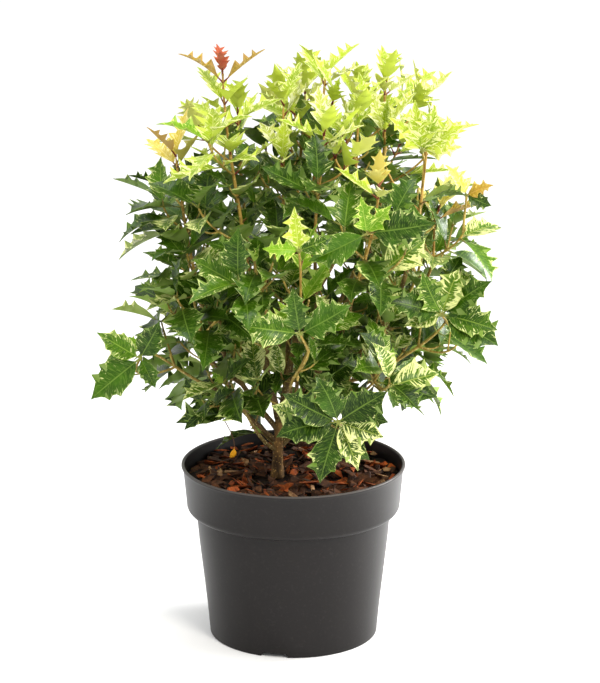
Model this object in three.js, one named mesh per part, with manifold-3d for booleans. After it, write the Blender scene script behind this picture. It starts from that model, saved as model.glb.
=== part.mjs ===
// Tricolor holly osmanthus, a young shrub in a round black nursery pot.
// Millimetres, Z up. The origin is the middle of the pot's flat underside, +Y points away from the
// side shown in front. The pot, the bark mulch, the trunk, each bough and each leaf mass is one solid.
import * as THREE from "three";
import Module from "manifold-3d";

const wasm = await Module();
wasm.setup();

// Pot: a 3 litre thermoformed container with a deep collar
const POT_HEIGHT = 150;
const RIM_RADIUS = 95;
const COLLAR_HEIGHT = 37;
const COLLAR_FOOT_RADIUS = 90.5;
const BODY_TOP_RADIUS = 82.5;
const FOOT_RADIUS = 71.5;
const WALL = 2;
const BASE_LIFT = 4;
const BASE_DISC_RADIUS = 34;
const POT_SEGMENTS = 32;
const NOTCHES = 3;
const NOTCH_WIDTH = 20;
const NOTCH_DEPTH = 16;
const FIRST_NOTCH = THREE.MathUtils.degToRad(-103.8);
const DRAINS = 8;
const DRAIN_RADIUS = 4.5;
const DRAIN_RING_RADIUS = 56;

// Mulch: bark chips over the compost, filling the pot to just below the rim
const SOIL_LEVEL = 138;
const SOIL_RINGS = 5;
const SOIL_SEGMENTS = 20;
const CHIP_BUMP = 2.6;
const FLAT_ROUND_TRUNK = 12;

// Clearances between neighbouring solids
const GAP = 0.3;
const FACET_GAP = 0.38;
const SPACE_MARGIN = 0.5;
const LEAF_OVERREACH = 9;
const LIMB_CLEARANCE = 1.6;
const OWN_LIMB_CLEARANCE = 1.2;
const LEAF_CLEARANCE = 3.2;
const NEIGHBOUR_CLEARANCE = 5.2;
const SIDE_CLEARANCE = 2.2;
const RIM_CLEARANCE = { above: 5, inside: 13, outside: 7 };
const NEAR_LEAF = 66;
const NEAR_LIMB = 60;

// Growth: how the shoots divide and how the leaves stand on them
const GOLDEN_ANGLE = THREE.MathUtils.degToRad(137.508);
const BEND = 0.36;
const BOUGH_STEPS = 5;
const BOUGH_SIDES = 4;
const SHOOT_STEPS = 8;
const SIDE_STEPS = 4;
const SHOOT_SIDES = 4;
const SQUARE_STEM = 1.12;
const NODE_HEIGHT = 1.8;
const BUD = 3;
const LEAF_WIDTH = 0.52;
const LEAF_FOLD = 0.3;
const LEAF_THICKNESS = 0.9;
const NODE_SPACING = 20;
const BARE_FOOT = { leader: 12, side: 15 };
const SIDE_FROM_TIP = 12;
const SIDE_LIFT = 15;
const SIDE_TRIES = 14;
const SIDE_TURN = THREE.MathUtils.degToRad(50);
const SIDE_RADII = [1, 0.75];
const LEADER_RADII = { onTrunk: 1.9, tip: 0.9 };
const RING_SPACING = 18;
const CROWN_HEART = new THREE.Vector3(0, 5, 250);
const LOWEST_LEAF = 143;

// Trunk: a single stem to its fork, leaning a little to the right
const TRUNK = {
  foot: [-13.5, -5, SOIL_LEVEL + GAP],
  fork: [-11.5, -4, 190],
  radii: [6.3, 4.9, 4.6, 4.3, 4.1, 3.9],
  sides: 10,
};

// Boughs: name, parent limb, share along the parent, tip, slope at the start and at the tip in
// degrees above the horizontal, radius at the start and at the tip
const BOUGHS = [
  ["tall_left", "trunk", 1.0, [-37, -28, 322], 72, 86, 2.6, 2.0],
  ["top_centre", "trunk", 1.0, [14, 30, 352], 70, 84, 2.9, 2.0],
  ["front_top", "trunk", 0.92, [47, -44, 300], 58, 80, 2.6, 1.9],
  ["right_top", "trunk", 0.84, [94, -20, 325], 46, 80, 2.6, 1.9],
  ["upper_left", "trunk", 0.78, [-74, -8, 290], 50, 74, 2.4, 1.8],
  ["back_left_top", "trunk", 0.86, [-40, 56, 335], 60, 80, 2.5, 1.8],
  ["low_left", "trunk", 0.6, [-76, -22, 226], 36, 24, 1.9, 1.5],
  ["front", "trunk", 0.94, [-2, -66, 236], 38, 66, 1.9, 1.6],
  ["centre_left", "tall_left", 0.14, [-9, 12, 330], 74, 88, 1.9, 1.6],
  ["top_right", "top_centre", 0.16, [70, 32, 352], 50, 82, 2.1, 1.7],
  ["back_top", "top_centre", 0.12, [2, 66, 340], 62, 82, 2.1, 1.7],
  ["back_right_top", "top_right", 0.24, [58, 76, 326], 46, 80, 1.9, 1.6],
  ["mid_top", "top_centre", 0.52, [48, 4, 372], 54, 82, 1.8, 1.5],
  ["centre_top", "front_top", 0.42, [18, -26, 352], 66, 86, 1.8, 1.5],
  ["centre_front", "tall_left", 0.3, [-22, -58, 298], 56, 84, 1.7, 1.4],
  ["centre_light", "front_top", 0.2, [6, -56, 280], 56, 80, 1.7, 1.4],
  ["right_low", "front_top", 0.3, [54, -52, 226], 14, 34, 1.7, 1.4],
  ["right_front", "right_top", 0.28, [84, -29, 246], 24, 46, 1.8, 1.5],
  ["right", "right_top", 0.42, [112, 12, 308], 34, 60, 1.7, 1.5],
  ["right_back", "right_top", 0.2, [98, 44, 286], 36, 58, 1.8, 1.5],
  ["left", "upper_left", 0.4, [-70, -24, 250], 36, 60, 1.7, 1.4],
  ["left_back", "back_left_top", 0.36, [-86, 54, 284], 36, 52, 1.8, 1.5],
  ["back", "back_top", 0.24, [-6, 94, 268], 36, 52, 1.8, 1.5],
  ["back_right", "back_right_top", 0.26, [74, 88, 258], 26, 46, 1.7, 1.4],
];

// Leaf masses: name, limb, share along it, tip of the leader, slope at the start (used on the trunk)
// and at the tip, bare share of the leader, leaf kind, side shoots, their length, seed
const MASSES = [
  ["tall_left", "tall_left", 1, [-57, -20, 482], 0, 88, 0, "bronze", 2, 47, 592],
  ["upper_left", "upper_left", 1, [-97, -1, 416], 0, 82, 0, "amber", 3, 38, 876],
  ["left", "left", 1, [-87, -33, 314], 0, 62, 0, "dark", 3, 44, 3],
  ["top_centre", "top_centre", 1, [27, 38, 476], 0, 84, 0, "lime", 4, 47, 4],
  ["front_top", "front_top", 1, [69, -63, 403], 0, 88, 0, "lime", 3, 46, 491],
  ["right_top", "right_top", 1, [109, -13, 434], 0, 86, 0, "lime", 4, 53, 374],
  ["top_right", "top_right", 1, [77, 36, 469], 0, 84, 0, "lime", 4, 56, 360],
  ["back_left_top", "back_left_top", 1, [-47, 75, 436], 0, 82, 0, "lime", 3, 51, 372],
  ["back_right_top", "back_right_top", 1, [57, 96, 447], 0, 82, 0, "lime", 3, 58, 741],
  ["back_top", "back_top", 1, [10, 90, 451], 0, 82, 0, "lime", 3, 51, 420],
  ["centre_left", "centre_left", 1, [-8, 6, 457], 0, 88, 0, "lime", 3, 44, 246],
  ["mid_top", "mid_top", 1, [54, 1, 455], 0, 86, 0, "lime", 3, 36, 886],
  ["centre_top", "centre_top", 1, [25, -38, 441], 0, 88, 0, "lime", 2, 40, 120],
  ["low_left", "low_left", 1, [-124, -26, 257], 0, 26, 0, "dark", 4, 47, 10],
  ["centre_front", "centre_front", 1, [-31, -76, 344], 0, 84, 0, "dark", 3, 43, 878],
  ["centre_light", "centre_light", 1, [6, -85, 342], 0, 80, 0, "fresh", 3, 40, 72],
  ["front", "front", 1, [13, -98, 277], 0, 74, 0, "dark", 3, 38, 446],
  ["right_low", "right_low", 1, [77, -81, 262], 0, 44, 0, "dark", 3, 44, 690],
  ["right_front", "right_front", 1, [126, -36, 283], 0, 56, 0, "dark", 3, 51, 870],
  ["right", "right", 1, [121, 15, 366], 0, 68, 0, "amber", 4, 44, 828],
  ["right_back", "right_back", 1, [117, 67, 344], 0, 58, 0, "dark", 3, 50, 700],
  ["left_back", "left_back", 1, [-90, 53, 344], 0, 54, 0, "dark", 3, 58, 448],
  ["back_right", "back_right", 1, [102, 124, 305], 0, 50, 0, "dark", 3, 58, 88],
  ["back", "back", 1, [-12, 132, 326], 0, 54, 0, "dark", 3, 54, 22],
  ["front_low", "trunk", 0.62, [39, -91, 222], 34, 26, 0.55, "dark", 2, 34, 858],
  ["low_left_front", "trunk", 0.44, [-58, -41, 232], 26, 40, 0.45, "dark", 3, 42, 27],
  ["low_back_left", "trunk", 0.5, [-95, 89, 238], 30, 26, 0.4, "dark", 3, 54, 369],
  ["low_back", "trunk", 0.68, [2, 112, 232], 34, 24, 0.4, "dark", 3, 46, 29],
  ["low_back_right", "trunk", 0.46, [78, 83, 248], 30, 26, 0.4, "dark", 3, 57, 456],
  ["low_right", "trunk", 0.56, [113, 27, 247], 30, 30, 0.4, "dark", 3, 40, 407],
  ["low_tuft", "trunk", 0.5, [-27, -2, 177], 30, 40, 0.1, "dark", 0, 20, 882],
];

// Leaf kinds: length of the young growth below the tip, and the spacing of its leaf pairs
const KINDS = {
  bronze: { flush: 80, spacing: [9, 27, 22, 20] },
  lime: { flush: 44, spacing: [9, 34, 20] },
  amber: { flush: 26, spacing: [9, 34, 20] },
  fresh: { flush: 44, spacing: [9, 34, 20] },
  dark: { flush: 0, spacing: [11] },
};
const SIDE_FLUSH_HEIGHT = 405;

// Leaf sizes by rank below the tip: least length, spread of lengths, least angle to the stem, spread
const YOUNG = { size: [36, 42, 46], sizeSpread: 9, angle: [30, 46, 56], angleSpread: 16, arch: 0.08 };
const MATURE = { size: [42, 46, 48], sizeSpread: 13, angle: [44, 62, 68], angleSpread: 16, arch: 0.15 };

// Ways a leaf may turn to find free space: change of angle, turn round the stem, share of its length
const TRIES = [
  [0, 0, 1],
  [-14, 18, 0.97],
  [-14, -18, 0.97],
  [4, 34, 0.94],
  [4, -34, 0.94],
  [-28, 0, 0.88],
  [-8, 52, 0.88],
  [-8, -52, 0.88],
  [-38, 24, 0.8],
  [-38, -24, 0.8],
];

const vec = (p) => new THREE.Vector3(...p);
const rad = THREE.MathUtils.degToRad;
const UP = new THREE.Vector3(0, 0, 1);

// Seeded choice between 0 and 1, the same for the same keys
function draw(...keys) {
  let h = 2166136261;
  for (const key of keys) h = Math.imul(h ^ key, 16777619) >>> 0;
  h ^= h >>> 15;
  h = Math.imul(h, 2246822519) >>> 0;
  h ^= h >>> 13;
  h = Math.imul(h, 3266489917) >>> 0;
  h ^= h >>> 16;
  return (h >>> 0) / 4294967296;
}

// Solids
function solidFrom(points, faces) {
  return new wasm.Manifold(
    new wasm.Mesh({
      numProp: 3,
      vertProperties: new Float32Array(points.flatMap((p) => [p.x, p.y, p.z])),
      triVerts: new Uint32Array(faces.flat()),
    }),
  );
}

function solidOfGeometry(geometry) {
  const position = geometry.getAttribute("position");
  const points = [];
  const seen = new Map();
  const index = [];
  for (let i = 0; i < position.count; i++) {
    const p = new THREE.Vector3().fromBufferAttribute(position, i);
    const key = [p.x, p.y, p.z].map((v) => Math.round(v * 1e4)).join();
    if (!seen.has(key)) seen.set(key, points.push(p) - 1);
    index.push(seen.get(key));
  }
  const corners = geometry.index ? [...geometry.index.array] : index.map((_, i) => i);
  const faces = [];
  for (let i = 0; i < corners.length; i += 3) {
    const [a, b, c] = corners.slice(i, i + 3).map((corner) => index[corner]);
    if (a !== b && b !== c && c !== a) faces.push([a, b, c]);
  }
  return solidFrom(points, faces);
}

function largestBody(solid) {
  return solid.decompose().reduce((a, b) => (a.volume() > b.volume() ? a : b));
}

function meshOf(name, solid, colour, roughness) {
  const made = solid.getMesh();
  const geometry = new THREE.BufferGeometry();
  geometry.setAttribute("position", new THREE.BufferAttribute(made.vertProperties, 3));
  geometry.setIndex(new THREE.BufferAttribute(made.triVerts, 1));
  geometry.computeVertexNormals();
  const material = new THREE.MeshStandardMaterial({ color: colour, roughness, metalness: 0 });
  const mesh = new THREE.Mesh(geometry, material);
  mesh.name = name;
  return mesh;
}

// Curves, kept as lists of points
function arc(from, startDirection, to, endDirection, steps) {
  const reach = from.distanceTo(to) * BEND;
  const curve = new THREE.CubicBezierCurve3(
    from,
    from.clone().addScaledVector(startDirection, reach),
    to.clone().addScaledVector(endDirection, -reach),
    to,
  );
  return curve.getPoints(steps);
}

function heading(from, to, slope) {
  const flat = new THREE.Vector3(to.x - from.x, to.y - from.y, 0).normalize();
  return flat.multiplyScalar(Math.cos(rad(slope))).addScaledVector(UP, Math.sin(rad(slope)));
}

function pointAt(line, share) {
  const s = share * (line.length - 1);
  const i = Math.min(Math.floor(s), line.length - 2);
  return line[i].clone().lerp(line[i + 1], s - i);
}

function directionAt(line, share) {
  const i = Math.min(Math.floor(share * (line.length - 1)), line.length - 2);
  return line[i + 1].clone().sub(line[i]).normalize();
}

function lengthOf(line) {
  return line.slice(1).reduce((sum, p, i) => sum + p.distanceTo(line[i]), 0);
}

// A direction square to an axis, level where it can be
function squareTo(axis) {
  const guide = Math.abs(axis.z) > 0.9 ? new THREE.Vector3(0.3, 0.9, 0.1) : UP;
  return axis.clone().cross(guide).normalize();
}

// Axis and the two directions square to it, carried along a line without twist
function framesAlong(line) {
  const last = line.length - 1;
  let across = squareTo(directionAt(line, 0));
  return line.map((p, i) => {
    const before = line[i].clone().sub(line[Math.max(i - 1, 0)]).normalize();
    const after = line[Math.min(i + 1, last)].clone().sub(line[i]).normalize();
    const axis = before.add(after).normalize();
    across = across.clone().addScaledVector(axis, -across.dot(axis)).normalize();
    return { axis, across, third: axis.clone().cross(across) };
  });
}

function frameAt(shoot, share) {
  const s = share * (shoot.line.length - 1);
  const i = Math.min(Math.floor(s), shoot.line.length - 2);
  const [a, b] = [shoot.frames[i], shoot.frames[i + 1]];
  const axis = a.axis.clone().lerp(b.axis, s - i).normalize();
  const across = a.across.clone().lerp(b.across, s - i);
  across.addScaledVector(axis, -across.dot(axis)).normalize();
  return { axis, across, third: axis.clone().cross(across) };
}

function spunRound(frame, angle) {
  const out = frame.across.clone().multiplyScalar(Math.cos(angle));
  return out.addScaledVector(frame.third, Math.sin(angle));
}

// A limb as rings of `sides` points along its line, closed by flat ends
function tube(line, radii, sides) {
  const last = line.length - 1;
  const points = [];
  framesAlong(line).forEach((frame, i) => {
    for (let k = 0; k < sides; k++)
      points.push(line[i].clone().addScaledVector(spunRound(frame, (2 * Math.PI * k) / sides), radii[i]));
  });
  const faces = [];
  for (let i = 0; i < last; i++)
    for (let k = 0; k < sides; k++) {
      const [a, b] = [i * sides + k, i * sides + ((k + 1) % sides)];
      faces.push([a, b, b + sides], [a, b + sides, a + sides]);
    }
  for (let k = 1; k < sides - 1; k++) {
    faces.push([0, k + 1, k]);
    faces.push([last * sides, last * sides + k, last * sides + k + 1]);
  }
  return solidFrom(points, faces);
}

function taper(limb, i) {
  return limb.r0 + ((limb.r1 - limb.r0) * i) / (limb.line.length - 1);
}

function radiiOf(limb) {
  return limb.radii ?? limb.line.map((_, i) => taper(limb, i));
}

// The same limb a little fatter and longer, used to cut its neighbours clear of it
function swollen(limb) {
  const line = limb.line.map((p) => p.clone());
  line[0].addScaledVector(directionAt(limb.line, 0), -GAP);
  line.at(-1).addScaledVector(directionAt(limb.line, 1), GAP);
  return tube(line, radiiOf(limb).map((r) => r + FACET_GAP), limb.sides);
}

// Limbs
function growLimbs() {
  const foot = vec(TRUNK.foot);
  const fork = vec(TRUNK.fork);
  const steps = TRUNK.radii.length - 1;
  const trunkLine = TRUNK.radii.map((_, i) => foot.clone().lerp(fork, i / steps));
  const limbs = new Map();
  limbs.set("trunk", {
    line: trunkLine,
    radii: TRUNK.radii,
    r0: TRUNK.radii[1],
    r1: TRUNK.radii.at(-1),
    sides: TRUNK.sides,
  });
  for (const [name, parent, share, tip, startSlope, endSlope, r0, r1] of BOUGHS) {
    const from = pointAt(limbs.get(parent).line, share);
    const to = vec(tip);
    const start = heading(from, to, startSlope);
    const end = heading(from, to, endSlope);
    limbs.set(name, { line: arc(from, start, to, end, BOUGH_STEPS), r0, r1, sides: BOUGH_SIDES });
  }
  return limbs;
}

// A shoot: its line, the way its rings are turned, and the places where leaf pairs stand, counted in
// millimetres from its start, tip first
function makeShoot(mass, kind, seed, id, line, bare, r0, r1) {
  const full = lengthOf(line);
  const young = id === 0 || (kind === "lime" && line.at(-1).z > SIDE_FLUSH_HEIGHT);
  const flush = young ? KINDS[kind].flush : 0;
  const spacing = flush ? KINDS[kind].spacing : KINDS.dark.spacing;
  const first = Math.max(bare * full, id === 0 ? BARE_FOOT.leader : BARE_FOOT.side);
  const nodes = [];
  for (let back = 0, rank = 0; full - back > first; rank++) {
    nodes.push(full - back);
    back += (spacing[rank] ?? NODE_SPACING) * (0.88 + 0.24 * draw(seed, 5, id, rank));
  }
  const turn = draw(seed, 6, id) * Math.PI;
  const frames = framesAlong(line);
  return { mass, kind, seed, id, line, full, flush, nodes, turn, frames, bare, r0, r1, carried: [] };
}

// Leaders of the masses, each with the space that its mass keeps to
function growLeaders(limbs) {
  return MASSES.map((row, mass) => {
    const [, limbName, share, tip, startSlope, endSlope, bare, kind, , , seed] = row;
    const limb = limbs.get(limbName);
    const onTip = share === 1;
    const from = pointAt(limb.line, share);
    const to = vec(tip);
    const start = onTip ? directionAt(limb.line, 1) : heading(from, to, startSlope);
    if (onTip) from.addScaledVector(start, GAP);
    const line = arc(from, start, to, heading(from, to, endSlope), SHOOT_STEPS);
    const radius = onTip ? limb.r1 * 0.9 : LEADER_RADII.onTrunk;
    const leader = makeShoot(mass, kind, seed, 0, line, bare, radius, LEADER_RADII.tip);
    leader.onTip = onTip;
    leader.centre = pointAt(line, bare + (1 - bare) * 0.6);
    leader.weight = (leader.full * (1 - bare) * 0.35 + 6) ** 2;
    return leader;
  });
}

// How far a point lies inside the space of a mass, negative when it is in a neighbour's
function depthInSpace(p, own, leaders) {
  const mine = p.distanceToSquared(own.centre) - own.weight;
  let depth = Infinity;
  for (const other of leaders) {
    if (other === own) continue;
    const theirs = p.distanceToSquared(other.centre) - other.weight;
    depth = Math.min(depth, (theirs - mine) / (2 * own.centre.distanceTo(other.centre)));
  }
  return depth;
}

function distanceToSegment(p, a, b) {
  const [dx, dy, dz] = [b.x - a.x, b.y - a.y, b.z - a.z];
  const along = (p.x - a.x) * dx + (p.y - a.y) * dy + (p.z - a.z) * dz;
  const t = Math.min(1, Math.max(0, along / (dx * dx + dy * dy + dz * dz)));
  return Math.hypot(p.x - a.x - t * dx, p.y - a.y - t * dy, p.z - a.z - t * dz);
}

function distanceToLine(p, line) {
  let least = Infinity;
  for (let i = 0; i + 1 < line.length; i++)
    least = Math.min(least, distanceToSegment(p, line[i], line[i + 1]));
  return least;
}

// Which of the four faces of a square stem looks most nearly along a direction
function faceTowards(shoot, share, direction) {
  const frame = frameAt(shoot, share);
  let best = 0;
  let most = -Infinity;
  for (let face = 0; face < SHOOT_SIDES; face++) {
    const towards = spunRound(frame, shoot.turn + (face + 1) * (Math.PI / 2)).dot(direction);
    if (towards > most) [best, most] = [face, towards];
  }
  return best;
}

// Side shoots stand crosswise to the older leaf pairs, round their leader by the golden angle, and
// bend upwards
function growSides(limbs, leaders) {
  const shoots = [...leaders];
  leaders.forEach((leader, mass) => {
    const [count, reach] = MASSES[mass].slice(8, 10);
    const { seed, line, kind, full } = leader;
    const turn = draw(seed, 1) * 2 * Math.PI;
    const seats = leader.nodes.filter((node) => full - node > SIDE_FROM_TIP).toReversed();
    for (let k = 0; k < count && seats.length; k++) {
      const position = seats[Math.floor(((k + 0.5 * draw(seed, 2, k)) * seats.length) / count)];
      const rank = leader.nodes.indexOf(position);
      const share = position / full;
      const from = pointAt(line, share);
      const frame = frameAt(leader, share);
      for (let attempt = 0; attempt < SIDE_TRIES; attempt++) {
        const angle = turn + k * GOLDEN_ANGLE + Math.floor(attempt / 2) * SIDE_TURN;
        const out = spunRound(frame, angle);
        const face = faceTowards(leader, share, out);
        if ((face - rank) % 2 !== 0) continue;
        if (leader.carried.some((c) => c.position === position && c.face === face)) continue;
        const start = frame.axis.clone().multiplyScalar(0.55).addScaledVector(out, 0.85).normalize();
        const shrink = attempt % 2 ? 0.7 : 1;
        const size = reach * (1.1 - 0.45 * share) * (0.85 + 0.3 * draw(seed, 3, k)) * shrink;
        const end = start.clone().multiplyScalar(0.5).addScaledVector(UP, 0.7);
        end.addScaledVector(frame.axis, 0.2).normalize();
        const way = start.clone().multiplyScalar(0.75).addScaledVector(end, 0.45).normalize();
        const to = from.clone().addScaledVector(way, size);
        const path = arc(from, start, to, end, SIDE_STEPS);
        const outer = path.slice(2);
        if (to.z < LOWEST_LEAF + SIDE_LIFT) continue;
        if (path.slice(3).some((p) => depthInSpace(p, leader, leaders) < SPACE_MARGIN)) continue;
        const near = [...limbs.values(), ...shoots].filter((limb) => limb !== leader);
        const clear = (p, limb) => distanceToLine(p, limb.line) > limb.r0 + SIDE_CLEARANCE;
        if (!outer.every((p) => near.every((limb) => clear(p, limb)))) continue;
        const side = makeShoot(mass, kind, seed, k + 1, path, 0, ...SIDE_RADII);
        leader.carried.push({ position, face, shoot: side });
        shoots.push(side);
        break;
      }
    }
  });
  return shoots;
}

// Leaves stand in pairs, each pair turned a right angle from the last, counted down from the tip
function planLeaves(shoots, leaders) {
  const plan = [];
  for (const shoot of shoots) {
    const { seed, id, full, nodes } = shoot;
    nodes.forEach((position, rank) => {
      const share = position / full;
      const frame = frameAt(shoot, share);
      const shape = full - position < shoot.flush ? YOUNG : MATURE;
      const step = Math.min(rank, 2);
      for (const half of [0, 1]) {
        const face = (rank + 2 * half + 3) % SHOOT_SIDES;
        const jitter = rad(16) * (draw(seed, 7, id, rank, half) - 0.5);
        plan.push({
          shoot,
          leader: leaders[shoot.mass],
          young: shape === YOUNG,
          face,
          position,
          share,
          root: pointAt(shoot.line, share),
          axis: frame.axis,
          out: spunRound(frame, shoot.turn + (rank * Math.PI) / 2 + half * Math.PI + jitter),
          size: shape.size[step] + shape.sizeSpread * draw(seed, 8, id, rank, half),
          angle: shape.angle[step] + shape.angleSpread * draw(seed, 9, id, rank, half),
          arch: shape.arch,
        });
      }
    });
  }
  return plan;
}

// Leaf axes: along the midrib, out of the upper face, and across
function standLeaf(leaf, angleChange, turn, shrink) {
  const { axis, young, root } = leaf;
  const across = axis.clone().cross(leaf.out);
  const out = leaf.out.clone().multiplyScalar(Math.cos(turn)).addScaledVector(across, Math.sin(turn));
  const angle = rad(leaf.angle + angleChange);
  const along = axis.clone().multiplyScalar(Math.cos(angle)).addScaledVector(out, Math.sin(angle));
  along.normalize();
  const away = root.clone().sub(CROWN_HEART).normalize();
  const face = axis.clone().multiplyScalar(young ? 1 : 0.5);
  face.addScaledVector(UP, young ? 0.2 : 0.55).addScaledVector(away, young ? 0.1 : 0.55).normalize();
  const normal = face.clone().addScaledVector(along, -face.dot(along));
  if (normal.length() < 0.2) normal.copy(axis).addScaledVector(along, -axis.dot(along));
  normal.normalize();
  const side = normal.clone().cross(along);
  return { ...leaf, along, normal, side, size: leaf.size * shrink };
}

// A point of the blade: share of the length, share of the width, height over the mid surface
function bladePoint(leaf, s, w, lift = 0) {
  const { root, along, normal, side, size, arch } = leaf;
  const width = size * LEAF_WIDTH;
  const rise = width * LEAF_FOLD * Math.abs(w) - size * arch * (s * s - 0.35 * s) + lift;
  return root
    .clone()
    .addScaledVector(along, size * (s - 0.35 * arch * s ** 3))
    .addScaledVector(normal, rise)
    .addScaledVector(side, width * w);
}

// Spines and the bays between them, from the foot of the blade to its tip
const MARGIN = [
  [0.4, 0.5],
  [0.54, 0.3],
  [0.74, 0.42],
];
const SAMPLE_ROWS = [0.22, 0.3, 0.38, 0.46, 0.54, 0.62, 0.7, 0.78, 0.86, 0.94];
const SAMPLE_COLUMNS = [-0.8, -0.4, 0, 0.4, 0.8];
const ROW = SAMPLE_COLUMNS.length;
const MIDDLE_SAMPLE = 4 * ROW + 2;

function halfWidth(s) {
  const u = Math.min(1, Math.max(0, (s - 0.14) / 0.86));
  return 0.5 * Math.sin(Math.PI * u ** 0.8) ** 0.75;
}

function samplesOf(leaf) {
  return SAMPLE_ROWS.flatMap((s) => SAMPLE_COLUMNS.map((c) => bladePoint(leaf, s, c * halfWidth(s))));
}

function leafPoints(leaf) {
  return [
    ...MARGIN.map(([s, w]) => bladePoint(leaf, s, w)),
    bladePoint(leaf, 1, 0),
    ...MARGIN.toReversed().map(([s, w]) => bladePoint(leaf, s, -w)),
    bladePoint(leaf, 0.5, 0, LEAF_THICKNESS / 2),
    bladePoint(leaf, 0.5, 0, -LEAF_THICKNESS / 2),
  ];
}

// Each leaf takes the first free way to stand; a leaf that finds none is left off
function placeLeaves(limbs, shoots, leaders) {
  const plan = planLeaves(shoots, leaders);
  const others = [...limbs.values(), ...shoots];
  const segments = others.flatMap((limb) =>
    limb.line.slice(1).map((b, i) => ({ limb, a: limb.line[i], b, r: taper(limb, i) })),
  );
  segments.forEach((segment) => (segment.middle = segment.a.clone().lerp(segment.b, 0.5)));
  const order = plan.map((leaf, i) => i).sort((i, j) => plan[j].share - plan[i].share || i - j);
  const placed = [];
  for (const i of order) {
    const planned = plan[i];
    for (const [angleChange, turn, shrink] of TRIES) {
      const leaf = standLeaf(planned, angleChange, rad(turn), shrink);
      if (leaf.along.z < -0.8) continue;
      const samples = samplesOf(leaf);
      const outline = leafPoints(leaf);
      if ([...samples, ...outline].some(hitsPot)) continue;
      if (outline.some((p) => depthInSpace(p, leaf.leader, leaders) < -LEAF_OVERREACH)) continue;
      const middle = samples[MIDDLE_SAMPLE];
      if (!clearOfLimbs(leaf, samples, middle, segments)) continue;
      const blade = [...samples, ...outline.slice(0, 7)];
      const near = placed.filter((other) => other.middle.distanceTo(middle) < NEAR_LEAF);
      if (near.some((other) => touches(blade.slice(ROW), other.blade, clearance(leaf, other)))) continue;
      placed.push({ ...leaf, blade, middle });
      leaf.shoot.carried.push({ position: leaf.position, face: leaf.face, leaf });
      break;
    }
  }
  return placed;
}

function touches(blade, other, clearance) {
  return blade.some((p) => other.some((q) => p.distanceToSquared(q) < clearance ** 2));
}

function clearance(leaf, other) {
  return leaf.leader === other.leader ? LEAF_CLEARANCE : NEIGHBOUR_CLEARANCE;
}

function hitsPot(p) {
  const { above, inside, outside } = RIM_CLEARANCE;
  const radius = Math.hypot(p.x, p.y);
  const atRim = radius > RIM_RADIUS - inside && radius < RIM_RADIUS + outside;
  return p.z < LOWEST_LEAF || (atRim && p.z < POT_HEIGHT + above);
}

function clearOfLimbs(leaf, samples, middle, segments) {
  return segments.every(({ limb, a, b, r, middle: halfway }) => {
    if (limb === leaf.shoot || halfway.distanceTo(middle) > NEAR_LIMB) return true;
    const family = limb.mass === leaf.leader.mass;
    const clearance = r + (family ? OWN_LIMB_CLEARANCE : LIMB_CLEARANCE);
    return samples.slice(family ? 2 * ROW : 0).every((p) => distanceToSegment(p, a, b) > clearance);
  });
}

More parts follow.
